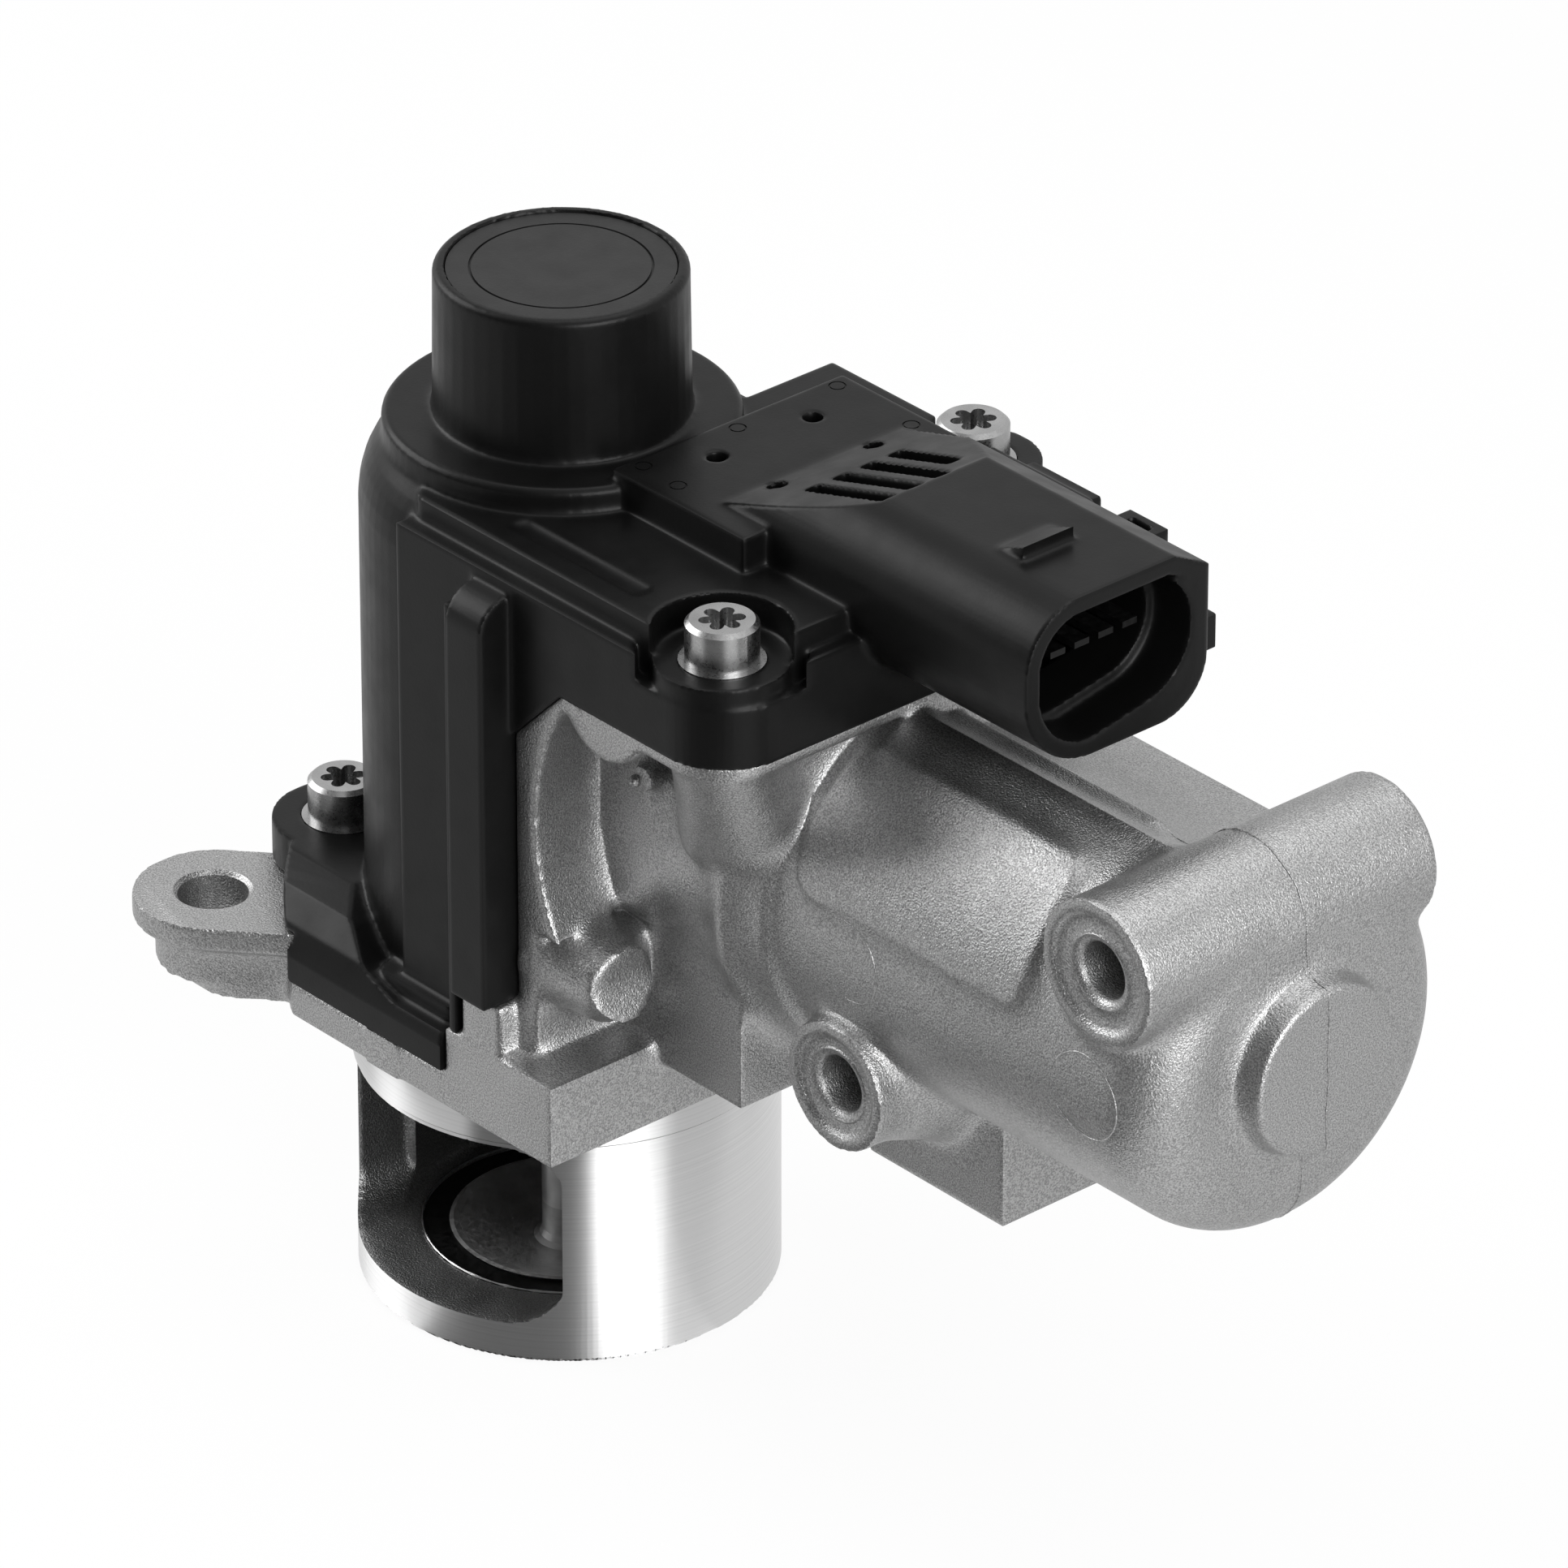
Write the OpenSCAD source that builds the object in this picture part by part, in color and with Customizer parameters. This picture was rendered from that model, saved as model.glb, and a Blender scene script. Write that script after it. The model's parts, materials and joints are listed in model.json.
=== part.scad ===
// Motor-driven exhaust gas recirculation valve, in millimetres.
// +Z runs up the valve stem, +X runs along the motor towards its closed end.
// The origin lies on the stem axis in the plane of the flange underside.

/* [Spigot and flange] */
// Radius of the machined spigot
port_r = 25; // [24.6:0.1:25.4]
// Length of the spigot below the flange
port_len = 36; // [35:0.5:39]
// Length of the centring land at the top of the spigot
land_len = 6.5; // [5:0.25:7]
// Height of the land above the rest of the spigot
land_h = 0.3; // [0.3:0.05:0.4]
// Radius of the gas chamber inside the spigot
chamber_r = 19.5; // [18.5:0.25:20]
// Height of the chamber floor above the spigot mouth
floor_h = 5; // [4.8:0.1:5.4]
// Depth of the window's top edge below the flange
window_top = 7.3; // [6.5:0.1:8.5]
// Half of the angle that the side window spans
window_half = 47; // [44:1:49]
// Corner radius of the side window
window_corner = 5.5; // [4:0.25:6.5]
// Thickness of the flange
flange_h = 10.5; // [10:0.25:11.5]
// Height of the step that the cover's foot stands round
step_h = 4.5; // [3.5:0.25:5.5]
// Distance of the square flange corner from the stem axis along X
corner_x = 29.7; // [29:0.1:30.5]
// Distance of the flange front from the stem axis along Y
corner_y = 28; // [27.6:0.1:28.3]
// Distance of the flange bolts from the stem axis along X
bolt_x = 31.4; // [31:0.1:32]
// Distance between the two flange bolts along Y
bolt_span = 55.2; // [54.6:0.1:56]
// Radius of a flange bolt hole
bolt_hole_r = 4.2; // [4:0.05:4.4]
// Radius of a flange ear
ear_r = 9.5; // [9:0.25:10.5]
// Thickness of the top layer of an ear
ear_h = 3.1; // [2.8:0.1:4]

/* [Poppet and stem] */
// Radius of the poppet
disc_r = 14.2; // [13.5:0.1:14.5]
// Depth of the dish in the poppet's upper face
dish_depth = 2.2; // [1.6:0.1:2.4]
// Height of the poppet from its rim to its flat underside
disc_h = 4; // [3.6:0.1:4.3]
// Radius of the stem
stem_r = 3.25; // [3:0.05:3.5]
// Gap between the poppet's cone and the seat's cone
seat_gap = 0.15; // [0.1:0.05:0.25]
// Running clearance of the stem in its guide
guide_gap = 0.05; // [0.02:0.01:0.08]
// Wall of the guide bush
guide_wall = 2.75; // [2.25:0.25:3.25]

/* [Lifting gear] */
// Distance of the crank pin from the crank axis
crank_e = 6.5; // [6.3:0.05:6.6]
// Half of the angle that the crank swings through
crank_half = 28; // [26:0.5:28]
// Height of the crank axis above the flange underside
crank_z = 27; // [26.5:0.25:27.5]
// Radius of the crank roller
roller_r = 4; // [3.75:0.05:4.1]
// Clearance of the roller in the yoke slot, on each side
slot_gap = 0.2; // [0.18:0.01:0.3]
// Pressure angle of all gears
gear_pa = 25; // [24.5:0.25:25.5]
// Clearance between tooth flanks
gear_backlash = 0.14; // [0.1:0.02:0.2]
// Module of the motor pinion and the idler gear
module_a = 0.5; // [0.49:0.01:0.51]
// Module of the idler pinion and the crank sector
module_b = 0.8; // [0.79:0.01:0.81]
// Face width of the crank sector
sector_w = 5; // [4:0.25:5.5]
// Wire radius of the return spring
wire_r = 0.9; // [0.7:0.05:1]
// Mean coil radius of the return spring
coil_r = 8.4; // [8:0.1:9]

/* [Motor] */
// Distance of the motor axis from the stem axis along Y
motor_y = 12; // [11.9:0.05:12.1]
// Height of the motor axis above the flange underside
motor_z = 35.5; // [35.3:0.05:35.6]
// Radius of the motor barrel
barrel_r = 23.4; // [23:0.1:23.8]
// X of the barrel's closed end
barrel_end = 112; // [111.5:0.25:113]
// Fillet of the barrel's closed end
barrel_fillet = 8; // [6:0.5:9]
// Radius of the round boss on the closed end
end_boss_r = 10.5; // [9.5:0.25:11.5]
// Height of the round boss on the closed end
end_boss_h = 4; // [3:0.25:5]
// Radius of the gear drum at its rim
drum_r = 27; // [26.8:0.1:27.2]
// Radius of the motor can
can_r = 13.4; // [13.2:0.05:13.5]
// Wall of the motor can
can_wall = 1.2; // [1:0.1:1.3]
// Radius of the armature core
core_r = 9.5; // [9.3:0.05:9.7]
// Length of the armature core
core_len = 21; // [19:0.5:22]
// Radius of the rotor shaft
rotor_r = 1.6; // [1.5:0.05:1.7]

/* [Fixing points] */
// X of the upper bolt tube
tube_x = 103; // [102.5:0.1:103.5]
// Height of the upper bolt tube
tube_z = 51.4; // [51:0.1:51.8]
// Outside radius of the upper bolt tube
tube_r = 8.8; // [8.4:0.1:9.2]
// X of the lower bolt boss
boss_x = 59.7; // [59.3:0.1:60]
// Height of the lower bolt boss
boss_z = 17.7; // [17.3:0.1:18]
// Outside radius of the lower bolt boss
boss_r = 7.9; // [7.5:0.1:8.2]
// Radius of the bores in the bolt tube and the bolt boss
tube_bore_r = 3.4; // [3.2:0.05:3.6]
// Distance of the tube and boss fronts in front of the stem axis
tube_front = 11.4; // [11:0.1:12]
// Distance of the rear mounting face behind the stem axis
rear_face = 32.3; // [32:0.1:33]
// Radius of the lugs behind the gear carrier's lower screws
lug_r = 4.7; // [4.5:0.1:5.2]
// Thickness of the casting's lip under the front edge of the cover
lip_h = 2; // [1.8:0.1:3]

/* [Cover] */
// Radius of the column round the stem
column_r = 23.5; // [23.3:0.1:23.7]
// Wall of the cover
cover_wall = 2.6; // [2.4:0.1:2.8]
// Height of the joint between the cover plate and the body
deck_z = 60; // [59.8:0.1:60.2]
// X of the upright joint between the cover and the body
joint_x = 20; // [19.8:0.1:20.2]
// Height of the plate's top face
plate_z = 74; // [73.5:0.1:74.3]
// Height of the plate's lower ledge
ledge_z = 71; // [70.6:0.1:71.4]
// Height of the screw pads on the plate
pad_z = 70; // [69.5:0.1:70.4]
// Distance of the plate's front skirt from the stem axis
skirt_y = 25; // [24.8:0.1:25.3]
// Distance of the plate's rear skirt from the stem axis
rear_y = 36.6; // [36.2:0.1:37]
// X of the plate's outer edge
plate_x = 55.6; // [55.2:0.1:56]
// Height of the raised platform
platform_z = 78.5; // [78:0.1:79]
// Radius of the sensor collar at its foot
collar_r = 14.95; // [14.8:0.05:15.2]
// Height of the top of the sensor collar
collar_z = 95.4; // [94.5:0.1:96.5]
// Radius of the sensor lid
lid_r = 13.2; // [13:0.05:13.3]
// Thickness of the sensor lid
lid_h = 2; // [1.6:0.1:2.4]
// X of the mouth of the plug shell
mouth_x = 83; // [80:0.5:86]
// Wall of the plug shell
shell_wall = 2.1; // [1.8:0.1:2.4]
// Number of blades in the plug shell
blades = 5; // [4:1:6]

/* [Fasteners] */
// Radius of a cover screw's head
head_r = 4.25; // [4:0.05:4.4]
// Height of a cover screw's head
head_h = 5; // [4.5:0.1:5.5]
// Radius of a cover screw's shank
shank_r = 2.45; // [2.3:0.05:2.45]
// Outside radius of a bushing under a cover screw
bushing_r = 5; // [4.8:0.05:5.2]

/* [Hidden] */
$fn = 96;

// Small amount by which a cut runs past the face it opens
past = 0.5;

// Heights in the spigot and on the stem
mouth_z = -port_len;
floor_z = mouth_z + floor_h;
rim_z = floor_z - 0.1;
neck_z = floor_z + 2.7;
seat_outer_r = disc_r + 3.2;
throat_r = disc_r - 2.2;
seat_cone_h = disc_h * 0.5;
guide_r = stem_r + guide_gap + guide_wall;
guide_bottom = -window_top - 1.5;
guide_top = flange_h - 6;
seal_pocket_r = 9;
retainer_h = 1;

// The crank pin stands on the front side of the crank axis, low when the valve is shut
crank_y = crank_e * (1 + cos(crank_half)) / 2;
pin_y = crank_y - crank_e * cos(crank_half);
pin_z = crank_z - crank_e * sin(crank_half);

// Yoke, spring and sensor heights
yoke_half_x = 4;
yoke_half_y = 9.5;
yoke_bar = 3;
slot_half = roller_r + slot_gap;
yoke_slot_y = roller_r + 1;
roller_half = 3.2;
yoke_bottom = pin_z - slot_half - yoke_bar;
yoke_top = pin_z + slot_half + yoke_bar;
retainer_z = yoke_top + 1.6;
shelf_z = 57;
shelf_h = 2;
rod_r = 2;
magnet_z = 76;
magnet_h = 8;
magnet_r = 3;
holder_r = 4.6;
holder_z = magnet_z - 4;

// Return spring between its retainer and the carrier's shelf
spring_low = retainer_z + 1.5;
spring_high = shelf_z - 0.1;
spring_turns = 6.5;
spring_sides = 8;
spring_steps = 20;

// Gear train: teeth, axis places and planes along X
teeth_pinion = 12;
teeth_idler = 36;
teeth_small = 12;
teeth_crank = 40;
dist_a = module_a * (teeth_pinion + teeth_idler) / 2;
dist_b = module_b * (teeth_small + teeth_crank) / 2;
to_motor = norm([motor_y - crank_y, motor_z - crank_z]);
angle_motor = atan2(motor_z - crank_z, motor_y - crank_y);
square_sum = dist_b * dist_b + to_motor * to_motor - dist_a * dist_a;
angle_idler = angle_motor - acos(square_sum / (2 * dist_b * to_motor));
idler_y = crank_y + dist_b * cos(angle_idler);
idler_z = crank_z + dist_b * sin(angle_idler);
angle_mesh = atan2(idler_z - motor_z, idler_y - motor_y);
sector_x = 11.2;
sector_end = sector_x + sector_w;
carrier_h = 3;
carrier_x = joint_x - carrier_h;
gear_x = 30;
gear_w = 4;
small_x = sector_x - 0.3;
small_end = sector_end + 0.2;
crank_shaft_r = 4;
crank_bush_r = 6;
idler_shaft_r = 2.5;
idler_bush_r = 4;
shaft_gap = 0.04;
pin_r = 2;

// Motor places along X
drum_wall = 3.6;
drum_bore = drum_r - drum_wall;
can_x = 45;
can_len = 52;
can_end = can_x + can_len;
can_bore = can_r + 0.2;
cap_x = 42.5;
cap_r = drum_bore - 0.3;
rear_cup_r = 6;
rear_cup_len = 5;
core_x = 66;
slots = 7;
slot_r = 1.9;
slot_depth = 3.4;
commutator_x = 50;
commutator_len = 9;
commutator_r = 5;
brush_end = can_r - can_wall - 0.8;
bearing_r = 4.5;
motor_screw_r = 1.2;
motor_screw_circle = (can_bore + drum_bore) / 2;
carrier_screw_r = 1.25;
// Places where screws pass through the gear carrier: [y, z, depth in the body]
CARRIER_FIXINGS = [[-18.4, 22, 8.5], [-18, 53.5, 3.5], [30, 17.8, 8.5]];
terminal_x = 40.2;
board_x = 8;

// Cover places
foot_z = step_h + 0.1;
foot_r = 33;
foot_pad_z = 16;
foot_front = 28.5;
foot_end = 10.8;
plateau_r = 25.4;
plateau_y = 24;
bump_x = 7.7;
chamfer = 8.3;
cap_base_z = plate_z + 3.2;
cap_base_r = 20.73;
sensor_bore = 12.2;
bar_x = 13.9;
bar_y = 29.5;
bar_bottom = 17;
bar_top = 69.5;
plug_y0 = -3.7;
plug_y1 = 23.7;
plug_z0 = 64.1;
plug_z1 = 84.7;
ramp_x0 = 31.5;
ramp_x1 = 51.5;
plug_back = 60;
platform_x = 17.2;
platform_y0 = -7.3;
platform_y1 = 27.5;
seal_w = 1.3;
seal_h = 0.9;

// Screw places: [x, y, height of the pad, height of the body under the bushing, pad radius]
front_screw = [47.2, -17, pad_z, deck_z, 7.85];
rear_screw = [30.5, 35.7, pad_z, deck_z, 8];
foot_screw = [-27.5, -10.8, foot_pad_z, flange_h, 8.5];
far_screw = [-27.5, 10.8, foot_pad_z, flange_h, 8.5];
SCREWS = [front_screw, rear_screw, foot_screw, far_screw];
thread_depth = 8;

// Colours
cast_grey = [0.62, 0.62, 0.62];
steel_grey = [0.72, 0.72, 0.72];
dark_steel = [0.3, 0.3, 0.31];
plastic_black = [0.06, 0.06, 0.065];
rubber_black = [0.04, 0.04, 0.04];

// Cylinders along each axis, from one end to the other
module xcyl(r, x0, x1, y = 0, z = 0) {
  translate([x0, y, z]) rotate([0, 90, 0]) cylinder(r = r, h = x1 - x0);
}

module ycyl(r, y0, y1, x = 0, z = 0) {
  translate([x, y1, z]) rotate([90, 0, 0]) cylinder(r = r, h = y1 - y0);
}

module zcyl(r, z0, z1, x = 0, y = 0) {
  translate([x, y, z0]) cylinder(r = r, h = z1 - z0);
}

// A tube along X
module xtube(ro, ri, x0, x1, y = 0, z = 0) {
  difference() {
    xcyl(ro, x0, x1, y, z);
    xcyl(ri, x0 - past, x1 + past, y, z);
  }
}

// A tube along Z
module ztube(ro, ri, z0, z1, x = 0, y = 0) {
  difference() {
    zcyl(ro, z0, z1, x, y);
    zcyl(ri, z0 - past, z1 + past, x, y);
  }
}

// A box from its low corner to its high corner
module block(low, high) {
  translate(low) cube(high - low);
}

// A flat outline drawn in Y and Z, extruded along X
module along_x(x0, x1) {
  translate([x0, 0, 0]) rotate([90, 0, 90]) linear_extrude(x1 - x0) children();
}

// A flat outline drawn in X and Z, extruded along Y
module along_y(y0, y1) {
  translate([0, y1, 0]) rotate([90, 0, 0]) linear_extrude(y1 - y0) children();
}

// A profile drawn as [radius, x], turned about an axis along X
module about_x(y, z) {
  translate([0, y, z]) rotate([0, 90, 0]) rotate_extrude() children();
}

// A rectangle with round corners, made of true arcs
module round_rect(low, high, r) {
  translate([low[0] + r, low[1]]) square([high[0] - low[0] - 2 * r, high[1] - low[1]]);
  translate([low[0], low[1] + r]) square([high[0] - low[0], high[1] - low[1] - 2 * r]);
  for (x = [low[0] + r, high[0] - r], y = [low[1] + r, high[1] - r])
    translate([x, y]) circle(r);
}

// Involute gear teeth
function involute(a) = tan(a) - a * PI / 180;
function half_tooth(r, rp, rb, n) =
  90 / n - gear_backlash / (4 * rp) * 180 / PI
  + (involute(gear_pa) - involute(acos(min(1, rb / r)))) * 180 / PI;
function tooth_radii(rp, m) =
  let(rb = rp * cos(gear_pa), root = rp - 1.25 * m, tip = rp + 0.92 * m)
  [root, max(rb, root) + 0.02, rp, (rp + tip) / 2, tip];
function tooth_points(rp, m, n, at) =
  let(rb = rp * cos(gear_pa), radii = tooth_radii(rp, m))
  concat(
    [for (r = radii) r * [cos(at - half_tooth(r, rp, rb, n)), sin(at - half_tooth(r, rp, rb, n))]],
    [for (i = [len(radii) - 1 : -1 : 0])
      radii[i] * [cos(at + half_tooth(radii[i], rp, rb, n)), sin(at + half_tooth(radii[i], rp, rb, n))]]);

module gear_outline(m, n, turn) {
  rp = m * n / 2;
  polygon([for (k = [0 : n - 1]) each tooth_points(rp, m, n, turn + 360 * k / n)]);
}

// Places a gear outline on an axis along X
module gear(m, n, turn, x0, x1, y, z) {
  translate([0, y, z]) along_x(x0, x1) gear_outline(m, n, turn);
}

// The body's side of the joint, drawn in X and Z
module body_side(gap) {
  far = 140;
  polygon([
    [joint_x - gap, -past], [joint_x - gap, deck_z - chamfer + gap / 2],
    [joint_x + chamfer - gap / 2, deck_z + gap], [far, deck_z + gap], [far, -past]]);
}

// Outline of the plug shell in Y and Z, inset by d
module plug_outline(d) {
  r_front_top = 8;
  r_front_low = 10;
  r_rear_low = 7;
  ridge_y = 18.5;
  ridge_drop = 2.7;
  polygon([
    [plug_y0 + r_front_top, plug_z1 - d], [ridge_y - d / 2, plug_z1 - d],
    [plug_y1 - d, plug_z1 - ridge_drop - d / 2], [plug_y1 - d, plug_z0 + r_rear_low],
    [plug_y1 - r_rear_low, plug_z0 + d], [plug_y0 + r_front_low, plug_z0 + d],
    [plug_y0 + d, plug_z0 + r_front_low], [plug_y0 + d, plug_z1 - r_front_top]]);
  translate([plug_y0 + r_front_top, plug_z1 - r_front_top]) circle(r_front_top - d);
  translate([plug_y0 + r_front_low, plug_z0 + r_front_low]) circle(r_front_low - d);
  translate([plug_y1 - r_rear_low, plug_z0 + r_rear_low]) circle(r_rear_low - d);
}

// Six-lobe socket outline
module six_lobe(r) {
  for (k = [0 : 2]) rotate(60 * k) {
    square([1.55 * r, 0.62 * r], center = true);
    for (s = [-1, 1]) translate([s * 0.77 * r, 0]) circle(0.31 * r, $fn = 24);
  }
}

// Body casting: the solids outside
module flange_outline(inset) {
  circle(foot_r - 4.5 - inset);
  translate([-8, -corner_y + inset]) square([corner_x + 8 - inset, corner_y]);
  translate([0, 0]) square([corner_x - inset, corner_y - 2 - inset]);
}

// Foot of the cover in plan: a clipped circle and a round pad for each foot screw
module foot_outline(inset) {
  intersection() {
    circle(foot_r - inset);
    translate([-60, -foot_front + inset]) square([60 + foot_end - inset, 2 * foot_front - 2 * inset]);
  }
  for (s = [foot_screw, far_screw]) translate([s[0], s[1]]) circle(s[4] - inset);
}

// Outlines of the two bolting ears, drawn in by short and with round ends of radius r
module ears_outline(short, r) {
  reach = norm([bolt_x, bolt_span / 2]) - short;
  for (side = [-1, 1]) rotate(atan2(side * bolt_span / 2, -bolt_x)) {
    translate([reach, 0]) circle(r);
    translate([0, -r]) square([reach, 2 * r]);
  }
}

// Flange in layers: the ears narrow towards the underside
module flange() {
  top_z = flange_h - ear_h;
  linear_extrude(1.8) ears_outline(4, ear_r - 2.2);
  linear_extrude(step_h) {
    flange_outline(0);
    foot_outline(0.3);
  }
  translate([0, 0, 1.8]) linear_extrude(top_z - 1.8) ears_outline(0.6, ear_r - 2);
  linear_extrude(flange_h) {
    plateau_outline(0);
    intersection() {
      flange_outline(0);
      translate([foot_end + 0.3, -60]) square([60, 120]);
    }
  }
  translate([0, 0, top_z]) linear_extrude(ear_h) {
    plateau_outline(0);
    ears_outline(0, ear_r);
  }
}

// Raised part of the flange inside the cover's foot
module plateau_outline(grow) {
  circle(plateau_r + grow);
  translate([0, -plateau_y - grow]) square([foot_end + 1, 2 * plateau_y + 2 * grow]);
  for (s = [foot_screw, far_screw]) translate([s[0], s[1]]) circle(5.6 + grow);
}

// Spigot: a land that centres it in its port, and a plain length below
module spigot() {
  zcyl(port_r + land_h, -land_len, 1);
  zcyl(port_r, mouth_z + 0.8, 0);
  translate([0, 0, mouth_z]) cylinder(r1 = port_r - 0.8, r2 = port_r, h = 0.8);
}

// Drum round the gears, with a rolled rim where the barrel leaves it
module drum() {
  about_x(motor_y, motor_z) polygon([
    [0, joint_x], [drum_r - 1.8, joint_x], [drum_r - 1.2, 40], [drum_r, 43.4], [drum_r, 44.4],
    [drum_r - 0.6, 45.2], [drum_r - 1.6, 47], [drum_r - 1.9, 49.2], [barrel_r + 0.9, 50.2],
    [barrel_r - 0.5, 50.7], [0, 50.7]]);
}

// Motor barrel with a round end and a boss over the rear bearing
module barrel() {
  f = barrel_fillet;
  about_x(motor_y, motor_z) {
    translate([0, 47]) square([barrel_r, barrel_end - f - 47]);
    translate([0, 47]) square([barrel_r - f, barrel_end - 47]);
    translate([barrel_r - f, barrel_end - f]) circle(f);
  }
  about_x(motor_y, motor_z) {
    translate([0, barrel_end - 2]) square([end_boss_r, end_boss_h + 1]);
    translate([0, barrel_end - 2]) square([end_boss_r - 1, end_boss_h + 2]);
    translate([end_boss_r - 1, barrel_end + end_boss_h - 1]) circle(1);
  }
}

// Raised bare pad on the front of the barrel
module label_pad() {
  intersection() {
    xcyl(barrel_r + 1, 53, 90.5, motor_y, motor_z);
    along_y(-20, motor_y) round_rect([53, motor_z + 5.4], [90.5, motor_z + 20.7], 3);
  }
}

// Upright wall that the cover closes on, and the deck under the cover plate
module joint_wall() {
  wall_y = -skirt_y + 0.4;
  block([joint_x, wall_y, flange_h - 3], [joint_x + 3.4, rear_y - 1, deck_z]);
  block([joint_x, wall_y, motor_z - 8.5], [joint_x + 10.8, rear_y - 1, deck_z]);
}

module deck() {
  translate([0, 0, deck_z - 9]) linear_extrude(9)
    round_rect([joint_x + 1, -skirt_y + 0.8], [plate_x - 0.8, rear_y - 0.8], 8.3);
}

// Round pocket that bares the front of the drum and leaves a lip under the cover's edge
module front_pocket() {
  difference() {
    translate([53.6, motor_y - drum_r + 1.6, 41.5]) rotate([90, 0, 0])
      cylinder(r1 = 32, r2 = 29.6, h = 14.6);
    block([joint_x, -skirt_y - 4, deck_z - lip_h], [80, 0, deck_z + 10]);
  }
}

// Column under the front screw, swept back and out into the drum
module front_column() {
  s = front_screw;
  hull() {
    translate([s[0] + 0.8, s[1] - 0.3, deck_z - lip_h]) cylinder(r = 6.2, h = 1, $fn = 32);
    translate([s[0] - 6.2, s[1] + 10.5, deck_z - 20]) cylinder(r = 8.5, h = 1, $fn = 32);
  }
}

// Space under the lip beside the drum's rim
module lip_relief() {
  block([50.6, -60, motor_z], [plate_x, 4, deck_z - lip_h]);
}

module rear_column() {
  s = rear_screw;
  translate([s[0], s[1], 46]) cylinder(r1 = 6, r2 = 9.2, h = deck_z - 46);
}

// Round pad that hangs from the lip beside the front column
module lip_pad() {
  ycyl(7.1, -skirt_y + 0.8, -8, 34.6, deck_z + 1.3);
}

module bolt_tube() {
  ycyl(tube_r, -tube_front, rear_face, tube_x, tube_z);
}

module bolt_boss() {
  ycyl(boss_r, -tube_front, rear_face, boss_x, boss_z);
  translate([boss_x, 8, boss_z]) rotate([90, 0, 0]) cylinder(r1 = 13, r2 = boss_r - 0.2, h = 16);
}

// Foot behind the barrel that meets the engine at the rear face
module rear_pad() {
  block([50.5, 2, 0], [73.5, rear_face, 40]);
  block([50.5, 16, 30], [98, rear_face, 49.2]);
}

module web() {
  block([joint_x, -11.4, 7.6], [43.8, 26, 30]);
}

// Lug behind a lower screw of the gear carrier, with a slanted end
module lug(f) {
  end_x = joint_x + f[2] + 2.5;
  intersection() {
    xcyl(lug_r, joint_x, end_x + 6, f[0], f[1]);
    along_y(f[0] - lug_r - 1, f[0] + lug_r + 1) polygon([
      [joint_x - 1, f[1] - 8], [joint_x - 1, f[1] + 8], [end_x - 3.6, f[1] + 8], [end_x + 3.6, f[1] - 8]]);
  }
}

// Block of the casting that the cover's upright bar stands on
module bar_seat() {
  block([bar_x, -corner_y + 0.2, flange_h - 1], [joint_x - 0.5, -skirt_y - 0.15, bar_bottom - 0.1]);
}

// Body casting: the spaces inside
module window_cut() {
  half_w = port_r * sin(window_half);
  along_y(-port_r - 2, -chamber_r * cos(window_half) + 4)
    round_rect([-half_w, floor_z], [half_w, -window_top], window_corner);
}

module gas_passage() {
  zcyl(chamber_r, floor_z, -window_top - 3);
  translate([0, 0, -window_top - 3.01]) cylinder(r1 = chamber_r, r2 = chamber_r - 3, h = 3);
  zcyl(seat_outer_r, mouth_z - past, floor_z + past);
}

module gear_room() {
  xcyl(drum_bore, joint_x - past, can_x, motor_y, motor_z);
}

module motor_room() {
  xcyl(can_bore, can_x - 1, can_end + 0.9, motor_y, motor_z);
  xcyl(rear_cup_r + 0.3, can_end, can_end + rear_cup_len + 0.6, motor_y, motor_z);
}

module bolt_bores() {
  ycyl(tube_bore_r, -tube_front - past, rear_face + past, tube_x, tube_z);
  ycyl(tube_bore_r, -tube_front - past, rear_face + past, boss_x, boss_z);
  ycyl(tube_r - 2.2, -tube_front - past, -tube_front + 0.7, tube_x, tube_z);
  ycyl(boss_r - 1.9, -tube_front - past, -tube_front + 0.7, boss_x, boss_z);
}

// Shallow trough left by the cutter between the barrel and the top of the rear pad
module milled_trough() {
  xcyl(52, plate_x - 0.8, tube_x, 36.8, 99.97);
}

module screw_holes() {
  for (s = SCREWS) zcyl(shank_r + 0.05, s[3] - thread_depth, s[3] + past, s[0], s[1]);
  for (f = CARRIER_FIXINGS) xcyl(carrier_screw_r + 0.05, joint_x - past, joint_x + f[2], f[0], f[1]);
  for (s = [-1, 1])
    xcyl(motor_screw_r + 0.05, can_x - past, can_x + 6, motor_y, motor_z + s * motor_screw_circle);
}

// Slot in the deck for the motor's terminals
module terminal_slot() {
  block([terminal_x - 2, motor_y - 8.5, deck_z - 4], [terminal_x + 2, motor_y + 8.5, deck_z + 1]);
}

module flange_bolt_holes() {
  for (side = [-1, 1]) zcyl(bolt_hole_r, -past, flange_h + past, -bolt_x, side * bolt_span / 2);
}

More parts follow.
